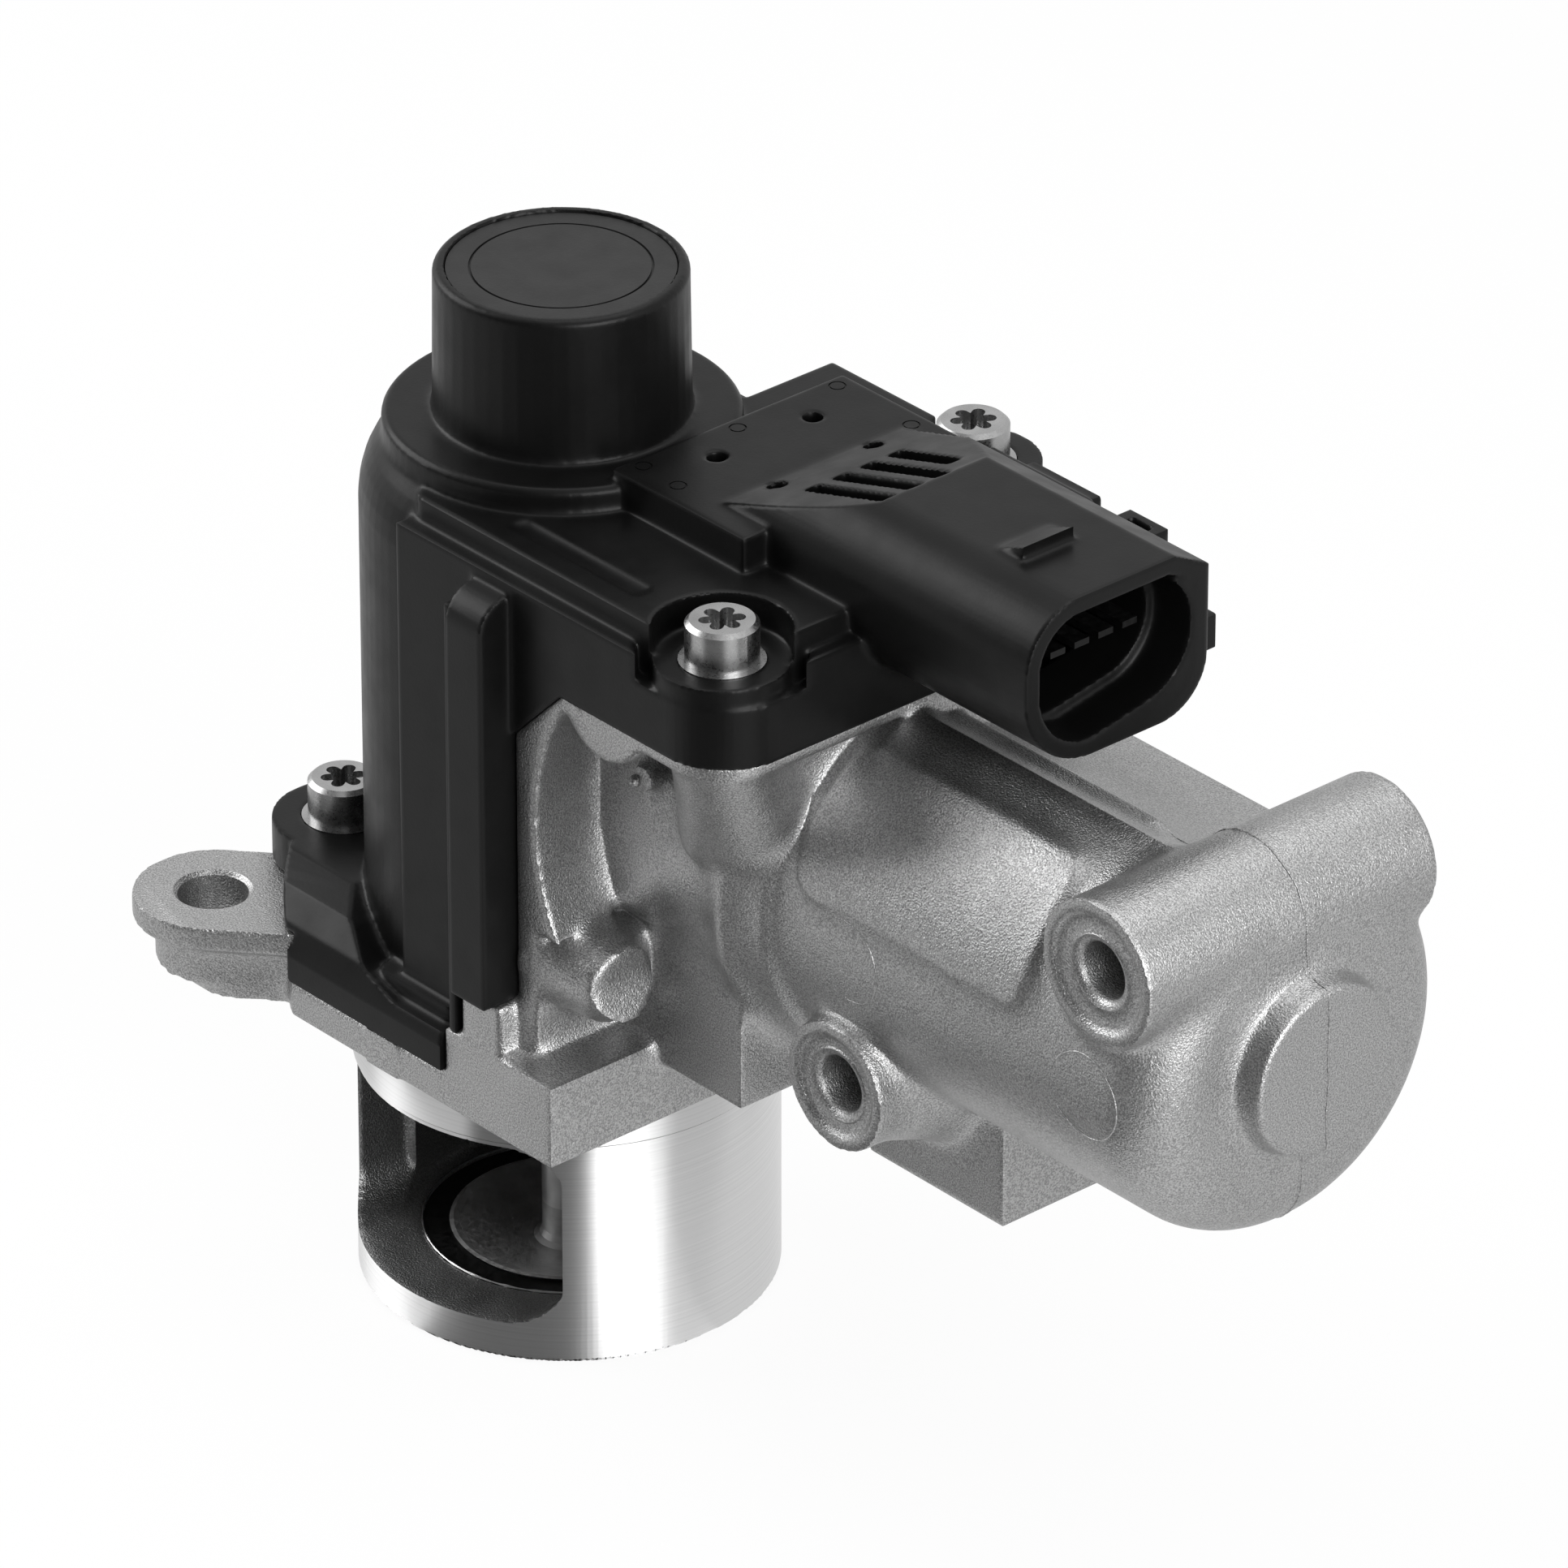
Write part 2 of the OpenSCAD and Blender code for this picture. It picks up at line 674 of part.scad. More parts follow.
module valve_housing() {
  color(cast_grey) difference() {
    union() {
      flange();
      spigot();
      difference() {
        union() {
          joint_wall();
          deck();
        }
        front_pocket();
        lip_relief();
      }
      drum();
      difference() {
        union() {
          barrel();
          rear_pad();
        }
        milled_trough();
      }
      label_pad();
      front_column();
      rear_column();
      lip_pad();
      web();
      lug(CARRIER_FIXINGS[0]);
      lug(CARRIER_FIXINGS[2]);
      bar_seat();
      bolt_boss();
      bolt_tube();
    }
    block([joint_x - 1, -60, deck_z], [plate_x + 5, 60, deck_z + 20]);
    along_y(-60, 60) polygon([
      [joint_x - 1, deck_z - chamfer - 1], [joint_x - 1, deck_z + 1], [joint_x + chamfer + 1, deck_z + 1]]);
    gas_passage();
    window_cut();
    zcyl(guide_r, -window_top - 4, flange_h + 1);
    zcyl(seal_pocket_r, guide_top, flange_h + past);
    gear_room();
    motor_room();
    bolt_bores();
    screw_holes();
    terminal_slot();
    flange_bolt_holes();
  }
}

// Seat, guide and seal of the stem
module seat_ring() {
  color(dark_steel) difference() {
    zcyl(seat_outer_r, mouth_z, floor_z - 0.5);
    zcyl(throat_r, mouth_z - past, floor_z);
    translate([0, 0, rim_z - seat_cone_h]) cylinder(
      r1 = throat_r + seat_gap, r2 = disc_r + seat_gap, h = seat_cone_h);
    zcyl(disc_r + seat_gap, rim_z - 0.01, floor_z);
    translate([0, 0, mouth_z - 0.01]) cylinder(r1 = throat_r + 1.5, r2 = throat_r, h = 1.5);
  }
}

module guide_bush() {
  color(dark_steel) ztube(guide_r, stem_r + guide_gap, guide_bottom, guide_top);
}

module stem_seal() {
  color(rubber_black) difference() {
    zcyl(seal_pocket_r, guide_top, flange_h - retainer_h);
    zcyl(stem_r + guide_gap, guide_top - past, flange_h);
    translate([0, 0, guide_top + 1]) cylinder(r1 = stem_r + 0.6, r2 = stem_r + 2.6, h = flange_h - guide_top);
  }
}

module seal_retainer() {
  color(steel_grey) ztube(seal_pocket_r, stem_r + 1, flange_h - retainer_h, flange_h);
}

// Dished poppet: a flat underside, a seat cone, a rim and a hollow upper face
module valve_disc() {
  dish_z = rim_z - dish_depth;
  steps = 12;
  color(dark_steel) rotate_extrude() polygon(concat(
    [[0, rim_z - disc_h], [throat_r - 1.2, rim_z - disc_h], [throat_r - 0.1, rim_z - seat_cone_h - 0.8],
     [throat_r, rim_z - seat_cone_h], [disc_r, rim_z], [disc_r - 0.5, rim_z + 0.1]],
    [for (i = [1 : steps])
      let(t = i / steps, r = (disc_r - 0.5) * (1 - t) + (stem_r + 1) * t)
      [r, rim_z - dish_depth * sin(90 * t)]],
    [[stem_r + 0.3, dish_z + 0.4], [stem_r, dish_z + 1.2], [stem_r, neck_z], [0, neck_z]]));
}

module valve_stem() {
  color(steel_grey) {
    zcyl(stem_r, neck_z, yoke_bottom - 1);
    zcyl(stem_r - 1, yoke_bottom - 1, yoke_bottom + yoke_bar);
  }
}

// Yoke: a block on the stem with a cross slot for the crank roller
module lift_yoke() {
  color(steel_grey) difference() {
    union() {
      block([-yoke_half_x, -yoke_half_y, yoke_bottom], [yoke_half_x, yoke_half_y, yoke_top]);
      zcyl(5.4, yoke_top - past, retainer_z);
    }
    block([-yoke_half_x - 1, -yoke_slot_y, pin_z - slot_half],
      [yoke_half_x + 1, yoke_slot_y, pin_z + slot_half]);
    zcyl(stem_r - 1, yoke_bottom - 1, yoke_bottom + yoke_bar);
    zcyl(rod_r, yoke_top - yoke_bar, retainer_z + 1);
  }
}

module sensor_rod() {
  color(steel_grey) zcyl(rod_r, yoke_top - yoke_bar, holder_z + 2);
}

// Spring plate with a raised ring inside the coil
module spring_retainer() {
  color(steel_grey) difference() {
    union() {
      zcyl(coil_r + 2, retainer_z, retainer_z + 1.4);
      zcyl(coil_r - wire_r - 0.6, retainer_z, retainer_z + 3);
    }
    zcyl(rod_r, retainer_z - past, retainer_z + 4);
  }
}

module magnet_holder() {
  color(plastic_black) difference() {
    zcyl(holder_r, holder_z, magnet_z + magnet_h + 0.8);
    zcyl(rod_r, holder_z - past, holder_z + 2);
    zcyl(magnet_r, magnet_z, magnet_z + magnet_h + 2);
  }
}

module sensor_magnet() {
  color(dark_steel) zcyl(magnet_r, magnet_z, magnet_z + magnet_h);
}

function coil_height(t) =
  let(ends = 0.8, lift = 2 * wire_r, free = spring_high - spring_low - 2 * wire_r - 2 * ends * lift)
  t < ends ? t * lift
  : t > spring_turns - ends ? ends * lift + free + (t - spring_turns + ends) * lift
  : ends * lift + free * (t - ends) / (spring_turns - 2 * ends);

module return_spring() {
  n = floor(spring_turns * spring_steps);
  points = [for (i = [0 : n], k = [0 : spring_sides - 1])
    let(t = spring_turns * i / n, a = 360 * k / spring_sides, r = coil_r + wire_r * cos(a))
    [r * cos(360 * t), r * sin(360 * t), spring_low + wire_r + coil_height(t) + wire_r * sin(a)]];
  sides = [for (i = [0 : n - 1], k = [0 : spring_sides - 1])
    let(a = i * spring_sides + k, b = i * spring_sides + (k + 1) % spring_sides)
    [a, a + spring_sides, b + spring_sides, b]];
  first = [for (k = [0 : spring_sides - 1]) k];
  last = [for (k = [spring_sides - 1 : -1 : 0]) n * spring_sides + k];
  color(steel_grey) polyhedron(points, concat(sides, [first, last]));
}

// Carrier: a plate on the upright joint face, two bush bosses and a shelf for the spring
module gear_carrier() {
  shelf_y = coil_r + 3.4;
  color(steel_grey) difference() {
    union() {
      along_x(carrier_x, joint_x) {
        hull() {
          translate([-18, 53.5]) circle(3.6, $fn = 32);
          translate([-18.4, 22]) circle(3.6, $fn = 32);
          translate([30, 17.8]) circle(3.6, $fn = 32);
          translate([28, 45]) circle(4, $fn = 32);
          translate([10, 54]) circle(4, $fn = 32);
        }
      }
      xcyl(crank_bush_r + 2.6, sector_end + 1, joint_x + 5, crank_y, crank_z);
      xcyl(idler_bush_r + 2.4, small_end + 0.5, joint_x + 7, idler_y, idler_z);
      block([-shelf_y, -shelf_y, shelf_z], [carrier_x + 1, shelf_y, shelf_z + shelf_h]);
      for (s = [-1, 1]) along_y(s * (shelf_y - 1) - 1, s * (shelf_y - 1) + 1) polygon([
        [carrier_x + 1, shelf_z + 0.5], [carrier_x + 1, shelf_z - 9], [carrier_x - 6, shelf_z + 0.5]]);
    }
    xcyl(crank_bush_r, sector_end, joint_x + 6, crank_y, crank_z);
    xcyl(idler_bush_r, small_end, joint_x + 8, idler_y, idler_z);
    zcyl(rod_r + 0.8, shelf_z - 1, shelf_z + shelf_h + 1);
    for (f = CARRIER_FIXINGS) xcyl(carrier_screw_r + 0.1, carrier_x - 1, joint_x + 1, f[0], f[1]);
  }
}

module carrier_screws() {
  color(steel_grey) for (f = CARRIER_FIXINGS) difference() {
    union() {
      xcyl(2.7, carrier_x - 1.8, carrier_x, f[0], f[1]);
      xcyl(carrier_screw_r, carrier_x - 0.5, joint_x + f[2] - 0.5, f[0], f[1]);
    }
    along_x(carrier_x - 2, carrier_x - 0.8) translate([f[0], f[1]]) six_lobe(1.3);
  }
}

module crank_bush() {
  color("goldenrod")
    xtube(crank_bush_r, crank_shaft_r + shaft_gap, sector_end + 1, joint_x + 5, crank_y, crank_z);
}

module idler_bush() {
  color("goldenrod")
    xtube(idler_bush_r, idler_shaft_r + shaft_gap, small_end + 0.5, joint_x + 7, idler_y, idler_z);
}

// Toothed sector. Its teeth cover the swing of the crank and one tooth more on each side.
module crank_gear() {
  rp = module_b * teeth_crank / 2;
  gap_at = angle_idler + 180 / teeth_crank;
  spare = 13;
  hub_r = 8;
  color(dark_steel) difference() {
    union() {
      intersection() {
        gear(module_b, teeth_crank, gap_at, sector_x, sector_end, crank_y, crank_z);
        translate([0, crank_y, crank_z]) along_x(sector_x - 1, sector_end + 1) polygon([
          [0, 0],
          for (a = [-spare : 6 : 2 * crank_half + spare + 1])
            3 * rp * [cos(angle_idler + a), sin(angle_idler + a)]]);
      }
      xcyl(hub_r, sector_x, sector_end, crank_y, crank_z);
      translate([0, pin_y, pin_z]) xcyl(pin_r + 2, sector_x, sector_end);
    }
    xcyl(crank_shaft_r - 1, sector_x - 1, sector_end + 1, crank_y, crank_z);
    xcyl(pin_r, sector_x - 1, sector_end + 1, pin_y, pin_z);
  }
}

module crank_shaft() {
  color(steel_grey) difference() {
    union() {
      xcyl(crank_shaft_r - 1, sector_x, sector_end + 0.5, crank_y, crank_z);
      xcyl(crank_shaft_r, sector_end, joint_x + 7.5, crank_y, crank_z);
    }
    xtube(crank_shaft_r + 1, crank_shaft_r - 0.7, joint_x + 5.4, joint_x + 6.4, crank_y, crank_z);
  }
}

module crank_pin() {
  color(steel_grey) {
    xcyl(pin_r, -roller_half - 0.4, sector_end, pin_y, pin_z);
    xcyl(pin_r + 0.8, -roller_half - 1.2, -roller_half - 0.3, pin_y, pin_z);
    xcyl(pin_r + 0.8, roller_half + 0.3, sector_x, pin_y, pin_z);
  }
}

module crank_roller() {
  color("goldenrod") xtube(roller_r, pin_r + shaft_gap, -roller_half, roller_half, pin_y, pin_z);
}

// A split ring that snaps into a shaft groove
module shaft_clip(shaft_r, x, y, z) {
  difference() {
    xtube(shaft_r + 1.6, shaft_r - 0.7, x, x + 0.8, y, z);
    block([x - 1, y - 1.4, z], [x + 2, y + 1.4, z + shaft_r + 3]);
  }
}

module crank_clip() {
  color(dark_steel) shaft_clip(crank_shaft_r, joint_x + 5.5, crank_y, crank_z);
}

module idler_clip() {
  color(dark_steel) shaft_clip(idler_shaft_r, joint_x + 7.5, idler_y, idler_z);
}

module idler_gear() {
  color(plastic_black) difference() {
    gear(module_a, teeth_idler, angle_mesh + 180 + 180 / teeth_idler,
      gear_x, gear_x + gear_w, idler_y, idler_z);
    xcyl(idler_shaft_r, gear_x - 1, gear_x + gear_w + 1, idler_y, idler_z);
    for (x = [gear_x - 1, gear_x + gear_w - 1]) xtube(6.8, 4.4, x, x + 2, idler_y, idler_z);
  }
}

module idler_pinion() {
  color(dark_steel) difference() {
    gear(module_b, teeth_small, angle_idler + 180, small_x, small_end, idler_y, idler_z);
    xcyl(idler_shaft_r, small_x - 1, small_end + 1, idler_y, idler_z);
  }
}

module idler_shaft() {
  color(steel_grey) difference() {
    xcyl(idler_shaft_r, small_x, gear_x + gear_w + 0.5, idler_y, idler_z);
    xtube(idler_shaft_r + 1, idler_shaft_r - 0.7, joint_x + 7.4, joint_x + 8.4, idler_y, idler_z);
  }
}

// Motor: can, magnets, end cap, brushes and rotor
module motor_can() {
  color(steel_grey) difference() {
    union() {
      xcyl(can_r, can_x, can_end, motor_y, motor_z);
      xcyl(rear_cup_r, can_end - 1, can_end + rear_cup_len, motor_y, motor_z);
    }
    xcyl(can_r - can_wall, can_x - past, can_end - can_wall, motor_y, motor_z);
    xcyl(bearing_r, can_end - 2, can_end + rear_cup_len - 1, motor_y, motor_z);
  }
}

module motor_magnets() {
  r = can_r - can_wall;
  color(dark_steel) intersection() {
    xtube(r, core_r + 0.8, core_x - 2, core_x + core_len + 2, motor_y, motor_z);
    for (s = [0, 180]) translate([0, motor_y, motor_z]) rotate([s, 0, 0]) along_x(core_x - 3, core_x + core_len + 3)
      polygon([[0, 0], [-15, 30], [15, 30]]);
  }
}

// Front end cap: flange, spigot into the can, brush guides and the front bearing seat
module brush_holder() {
  color([0.2, 0.18, 0.15]) difference() {
    union() {
      xcyl(cap_r, cap_x, can_x, motor_y, motor_z);
      xcyl(can_r - can_wall - 0.05, can_x - 1, commutator_x + commutator_len, motor_y, motor_z);
      xcyl(bearing_r + 1.6, cap_x - 2.5, can_x, motor_y, motor_z);
    }
    xcyl(commutator_r + 4.5, can_x + 3, commutator_x + commutator_len + 1, motor_y, motor_z);
    xcyl(rotor_r + 0.6, cap_x - 4, can_x + 4, motor_y, motor_z);
    xcyl(bearing_r, cap_x - 4, cap_x + 2.5, motor_y, motor_z);
    brush_slots(0);
    for (s = [-1, 1]) {
      xcyl(motor_screw_r + 0.1, cap_x - 1, can_x + 1, motor_y, motor_z + s * motor_screw_circle);
      terminal_foot(s);
    }
  }
}

module brush_slots(gap) {
  for (s = [-1, 1]) block(
    [commutator_x + 1.5 + gap, motor_y + (s < 0 ? -brush_end + gap : 4), motor_z - 2 + gap],
    [commutator_x + 7.5 - gap, motor_y + (s < 0 ? -4 : brush_end - gap), motor_z + 2 - gap]);
}

module carbon_brushes() {
  color([0.12, 0.12, 0.12]) difference() {
    brush_slots(0);
    xcyl(commutator_r + 0.05, commutator_x - 1, commutator_x + commutator_len + 1, motor_y, motor_z);
  }
}

module terminal_foot(s) {
  y = motor_y + s * 5;
  block([terminal_x - 0.4, y - 1.5, motor_z + 14], [can_x - 1, y + 1.5, motor_z + 16]);
}

// Two blades that rise from the end cap through the deck
module motor_terminals() {
  color("goldenrod") for (s = [-1, 1]) {
    terminal_foot(s);
    y = motor_y + s * 5;
    block([terminal_x - 0.4, y - 1.5, motor_z + 14], [terminal_x + 0.4, y + 1.5, deck_z + 7]);
  }
}

module front_bearing() {
  color("goldenrod") xtube(bearing_r, rotor_r + shaft_gap, cap_x - 2.5, cap_x + 2.5, motor_y, motor_z);
}

module rear_bearing() {
  color("goldenrod")
    xtube(bearing_r, rotor_r + shaft_gap, can_end - 1, can_end + rear_cup_len - 1, motor_y, motor_z);
}

module motor_screws() {
  color(steel_grey) for (s = [-1, 1]) difference() {
    union() {
      xcyl(1.9, cap_x - 1.5, cap_x, motor_y, motor_z + s * motor_screw_circle);
      xcyl(motor_screw_r, cap_x - 0.5, can_x + 5.5, motor_y, motor_z + s * motor_screw_circle);
    }
    along_x(cap_x - 2, cap_x - 0.7) translate([motor_y, motor_z + s * motor_screw_circle]) six_lobe(0.9);
  }
}

module motor_wave_washer() {
  color(dark_steel) xtube(can_r - 3, can_r - 6, can_end + 0.1, can_end + 0.8, motor_y, motor_z);
}

module rotor_shaft() {
  color(steel_grey) xcyl(rotor_r, gear_x - 0.8, can_end + rear_cup_len - 1.4, motor_y, motor_z);
}

// Slotted armature core
module armature_core() {
  color(dark_steel) difference() {
    xcyl(core_r, core_x, core_x + core_len, motor_y, motor_z);
    xcyl(rotor_r, core_x - 1, core_x + core_len + 1, motor_y, motor_z);
    for (k = [0 : slots - 1]) translate([0, motor_y, motor_z]) rotate([360 * k / slots, 0, 0]) {
      block([core_x - 1, -0.6, core_r - 3], [core_x + core_len + 1, 0.6, core_r + 1]);
      xcyl(slot_r + 0.1, core_x - 1, core_x + core_len + 1, 0, core_r - slot_depth);
    }
  }
}

// Windings: a bundle in each slot and a ring of end turns at each end
module armature_windings() {
  color("sienna") {
    for (k = [0 : slots - 1]) translate([0, motor_y, motor_z]) rotate([360 * k / slots, 0, 0])
      xcyl(slot_r, core_x - 2, core_x + core_len + 2, 0, core_r - slot_depth);
    for (x = [core_x - 5, core_x + core_len])
      xtube(core_r - 1.4, rotor_r + 2, x + 0.05, x + 4.95, motor_y, motor_z);
  }
}

module commutator() {
  color("peru") difference() {
    xtube(commutator_r, rotor_r, commutator_x, core_x - 5.1, motor_y, motor_z);
    for (k = [0 : slots - 1]) translate([0, motor_y, motor_z]) rotate([360 * k / slots, 0, 0])
      block([commutator_x - 1, -0.25, commutator_r - 0.6],
        [commutator_x + commutator_len, 0.25, commutator_r + 1]);
  }
}

module motor_pinion() {
  color(dark_steel) difference() {
    gear(module_a, teeth_pinion, angle_mesh, gear_x - 0.5, gear_x + gear_w + 0.5, motor_y, motor_z);
    xcyl(rotor_r, gear_x - 1, gear_x + gear_w + 1, motor_y, motor_z);
  }
}

// Cover: the solids outside
module column() {
  rotate_extrude() polygon([
    [0, flange_h], [column_r, flange_h], [column_r, plate_z - 7.5], [column_r - 0.25, plate_z - 5.3],
    [column_r - 0.8, plate_z - 3.3], [column_r - 1.6, plate_z - 1.6], [column_r - 2.6, plate_z], [0, plate_z]]);
}

// Outline of the cover in plan, inset by d, out to the given X
module cover_plan(d, x_end) {
  translate([0, -skirt_y + d]) square([x_end - d, 2 * skirt_y - 2 * d]);
  translate([bump_x + d, 0]) square([x_end - bump_x - 2 * d, rear_y - d]);
}

// Foot: its roof falls from the screw pads to a low skirt
module foot() {
  roof = foot_pad_z - foot_z;
  intersection() {
    translate([0, 0, foot_z]) linear_extrude(roof) foot_outline(0);
    along_x(-60, 20) polygon([
      [-30, foot_z], [-foot_front, 8.2], [-27.2, 11.6], [-24.6, 14.4], [-20.6, foot_pad_z],
      [20.6, foot_pad_z], [24.6, 14.4], [27.2, 11.6], [foot_front, 8.2], [30, foot_z]]);
    along_y(-40, 40) polygon([
      [-60, foot_z], [-60, foot_pad_z], [-14, foot_pad_z], [-9, 14], [-4, 11.2], [2, 9.6], [20, 9.6],
      [20, foot_z]]);
  }
  translate([0, 0, foot_z]) linear_extrude(flange_h + 1.2 - foot_z)
    round_rect([-3.5, -skirt_y - 1.2], [foot_end, skirt_y + 1.2], 2);
}

// Upright bar beside the joint, round at the top, and the thin rib beside it
module joint_bar() {
  along_x(bar_x, joint_x) {
    polygon([[-bar_y, bar_bottom], [-bar_y, bar_top - 4], [-skirt_y - 0.5, bar_top], [-skirt_y + 1, bar_top],
      [-skirt_y + 1, bar_bottom]]);
    intersection() {
      translate([-skirt_y - 0.5, bar_top - 4]) circle(4);
      translate([-bar_y, bar_top - 4]) square([5, 4]);
    }
  }
  block([bar_x - 2.1, -skirt_y - 3, foot_z], [bar_x - 0.9, -skirt_y + 1, bar_top - 3]);
}

// Space over the lowered corner of the plate, grown by d towards the inside
module lowered_corner(d) {
  s = front_screw;
  translate([s[0], s[1], pad_z - 2.5 - d]) cylinder(r = s[4] + 2.4 + d, h = 20);
  block([s[0] - 6 - d, -60, pad_z - 2.5 - d], [80, s[1] + 4 + d, 100]);
}

// Plate on the deck with a ledge round it, lowered round the front screw
module plate() {
  low = [0, -skirt_y];
  difference() {
    union() {
      translate([0, 0, deck_z - 10]) linear_extrude(ledge_z - deck_z + 10)
        round_rect(low, [plate_x, rear_y], 8.5);
      translate([0, 0, ledge_z - 1]) linear_extrude(plate_z - ledge_z + 1)
        round_rect([0, -skirt_y + 2.2], [plate_x - 2, rear_y - 2.2], 2);
    }
    block([0, 21, 0], [bump_x, 60, 100]);
    lowered_corner(0);
  }
  for (s = [front_screw, rear_screw]) zcyl(s[4], deck_z, pad_z, s[0], s[1]);
}

// Platform, ramp and plug shell on top of the plate
module plug_block() {
  intersection() {
    along_x(platform_x, mouth_x) plug_outline(0);
    along_y(plug_y0 - 5, plug_y1 + 5) polygon([
      [ramp_x0, ledge_z], [ramp_x0, platform_z], [ramp_x1, plug_z1 - 0.2], [ramp_x1 + 0.7, plug_z1 + 1],
      [mouth_x + 1, plug_z1 + 1], [mouth_x + 1, 0], [plate_x - 4, 0], [plate_x - 4, ledge_z]]);
  }
  block([platform_x, platform_y0, plate_z - 1], [39.8, platform_y1, platform_z]);
  translate([67.9, 5, plug_z1 - 0.2]) rotate([90, 0, 90]) linear_extrude(4.4) square([7.6, 0.2]);
  along_y(5, 12.6) polygon([[68.2, plug_z1 - 0.5], [68.2, plug_z1], [72.6, plug_z1 + 1.7], [72.6, plug_z1 - 0.5]]);
  block([46, plug_y1 - 4, plug_z0 + 2], [72, rear_y - 3, plug_z0 + 8]);
}

module collar() {
  rotate_extrude() {
    polygon([[0, plate_z - 1], [cap_base_r, plate_z - 1], [cap_base_r, cap_base_z - 0.6],
      [cap_base_r - 0.6, cap_base_z], [0, cap_base_z]]);
    polygon([[0, cap_base_z - 1], [collar_r, cap_base_z - 1], [collar_r - 0.25, collar_z - 0.5],
      [collar_r - 0.75, collar_z], [0, collar_z]]);
  }
}

// Cover: the spaces inside
module cover_room() {
  zcyl(column_r - cover_wall, flange_h - 8, plate_z - 4.5);
  translate([0, 0, flange_h - 8]) linear_extrude(ledge_z - 2.6 - flange_h + 8)
    translate([0, -skirt_y + cover_wall]) square([plate_x - cover_wall, 2 * skirt_y - 2 * cover_wall]);
  translate([0, 0, flange_h + 2.2]) linear_extrude(ledge_z - 2.6 - flange_h - 2.2)
    translate([bump_x + cover_wall, 0]) square([plate_x - bump_x - 2 * cover_wall, rear_y - cover_wall]);
}

module sensor_room() {
  zcyl(sensor_bore, plate_z - 10, collar_z + 1);
  zcyl(lid_r + 0.1, collar_z - lid_h, collar_z + 1);
}

module plug_room() {
  along_x(plug_back, mouth_x + 1) plug_outline(shell_wall);
}

module ramp_details() {
  for (k = [0 : 3]) along_y(3 + 4.15 * k, 5.2 + 4.15 * k) polygon([
    [38.2, 78], [38.2, 90], [51.6 - (k == 3 ? 3 : 0), 90], [51.6 - (k == 3 ? 3 : 0), 82.2], [43, 79]]);
  for (x = [22.8, 33.2], y = [3.5, 18]) zcyl(1.15, platform_z - 2, plug_z1, x, y);
  translate([0, 0, plate_z - 0.5]) linear_extrude(2) round_rect([13.4, -19.6], [35.6, -17], 1.2);
}

module actuator_cover() {
  color(plastic_black) difference() {
    union() {
      difference() {
        union() {
          column();
          translate([0, 0, flange_h]) linear_extrude(ledge_z - flange_h) cover_plan(0, joint_x + 2);
          plate();
        }
        along_y(-60, 60) body_side(0);
      }
      foot();
      joint_bar();
      plug_block();
      collar();
    }
    difference() {
      cover_room();
      for (s = SCREWS) zcyl(bushing_r + 2.4, flange_h - 1, plate_z, s[0], s[1]);
      lowered_corner(cover_wall);
    }
    sensor_room();
    plug_room();
    ramp_details();
    translate([0, 0, foot_z - 1]) linear_extrude(flange_h - foot_z + 1) plateau_outline(0.25);
    block([foot_end + 0.2, -60, 0], [60, 60, flange_h]);
    translate([0, 0, foot_z - 1]) linear_extrude(flange_h + 0.15 - foot_z + 1) ears_outline(0, ear_r + 0.25);
    for (s = SCREWS) zcyl(bushing_r, s[3] - 1, s[2] + 10, s[0], s[1]);
    seal_path();
    for (k = [0 : blades - 1]) blade(k, 0);
    sensor_board_shape(0.1);
  }
}

// Seal in the joint: up both sides, over the chamfer and round the deck, and under the column
module seal_path() {
  a = 1;
  b = a + seal_w;
  intersection() {
    difference() {
      along_y(-60, 60) body_side(seal_h);
      along_y(-60, 60) body_side(0);
    }
    union() {
      difference() {
        translate([0, 0, flange_h]) linear_extrude(60) seal_loop(a, bushing_r + 1);
        translate([0, 0, flange_h - 1]) linear_extrude(62) seal_loop(b, bushing_r + 1 + seal_w);
      }
      block([0, skirt_y - 2, flange_h + 0.4], [joint_x + 1, rear_y - b, flange_h + 1.7]);
    }
  }
  translate([0, 0, flange_h]) linear_extrude(seal_h) intersection() {
    translate([-40, -40]) square([40 + joint_x, 80]);
    difference() {
      union() {
        circle(column_r - a);
        translate([0, -skirt_y + a]) square([joint_x, 2 * skirt_y - 2 * a]);
      }
      circle(column_r - b);
      translate([0, -skirt_y + b]) square([joint_x + 1, 2 * skirt_y - 2 * b]);
    }
  }
}

// Plan of the seal at an inset, led round the inside of the two deck screws
module seal_loop(inset, keep) {
  difference() {
    round_rect([-30, -skirt_y + inset], [plate_x - inset, rear_y - inset], 7);
    for (s = [front_screw, rear_screw]) translate([s[0], s[1]]) circle(keep);
  }
}

module cover_seal() {
  color(rubber_black) seal_path();
}

module sensor_lid() {
  color(plastic_black) difference() {
    zcyl(lid_r, collar_z - lid_h, collar_z - 0.3);
    translate([0, 0, collar_z - 0.6]) difference() {
      cylinder(r = 10.6, h = 1);
      translate([0, 0, -1]) cylinder(r = 10.3, h = 3);
    }
  }
}

// Sensor board beside the magnet, with the sensing chip on it
module sensor_board_shape(gap) {
  block([board_x - gap, -7 - gap, 66 - gap], [board_x + 1.6 + gap, 7 + gap, 90 + gap]);
}

module sensor_board() {
  color("darkgreen") sensor_board_shape(0);
}

module hall_sensor() {
  color([0.1, 0.1, 0.1]) block([board_x - 1.6, -3, magnet_z + 1], [board_x, 3, magnet_z + 7]);
}

// Blade k of the plug, held in the shell's back wall
module blade(k, gap) {
  pitch = 3.6;
  y = (plug_y0 + plug_y1) / 2 + pitch * (k - (blades - 1) / 2);
  block([plug_back - 8, y - 1.1, 74], [mouth_x - 6, y + 1.1, 74.8]);
}

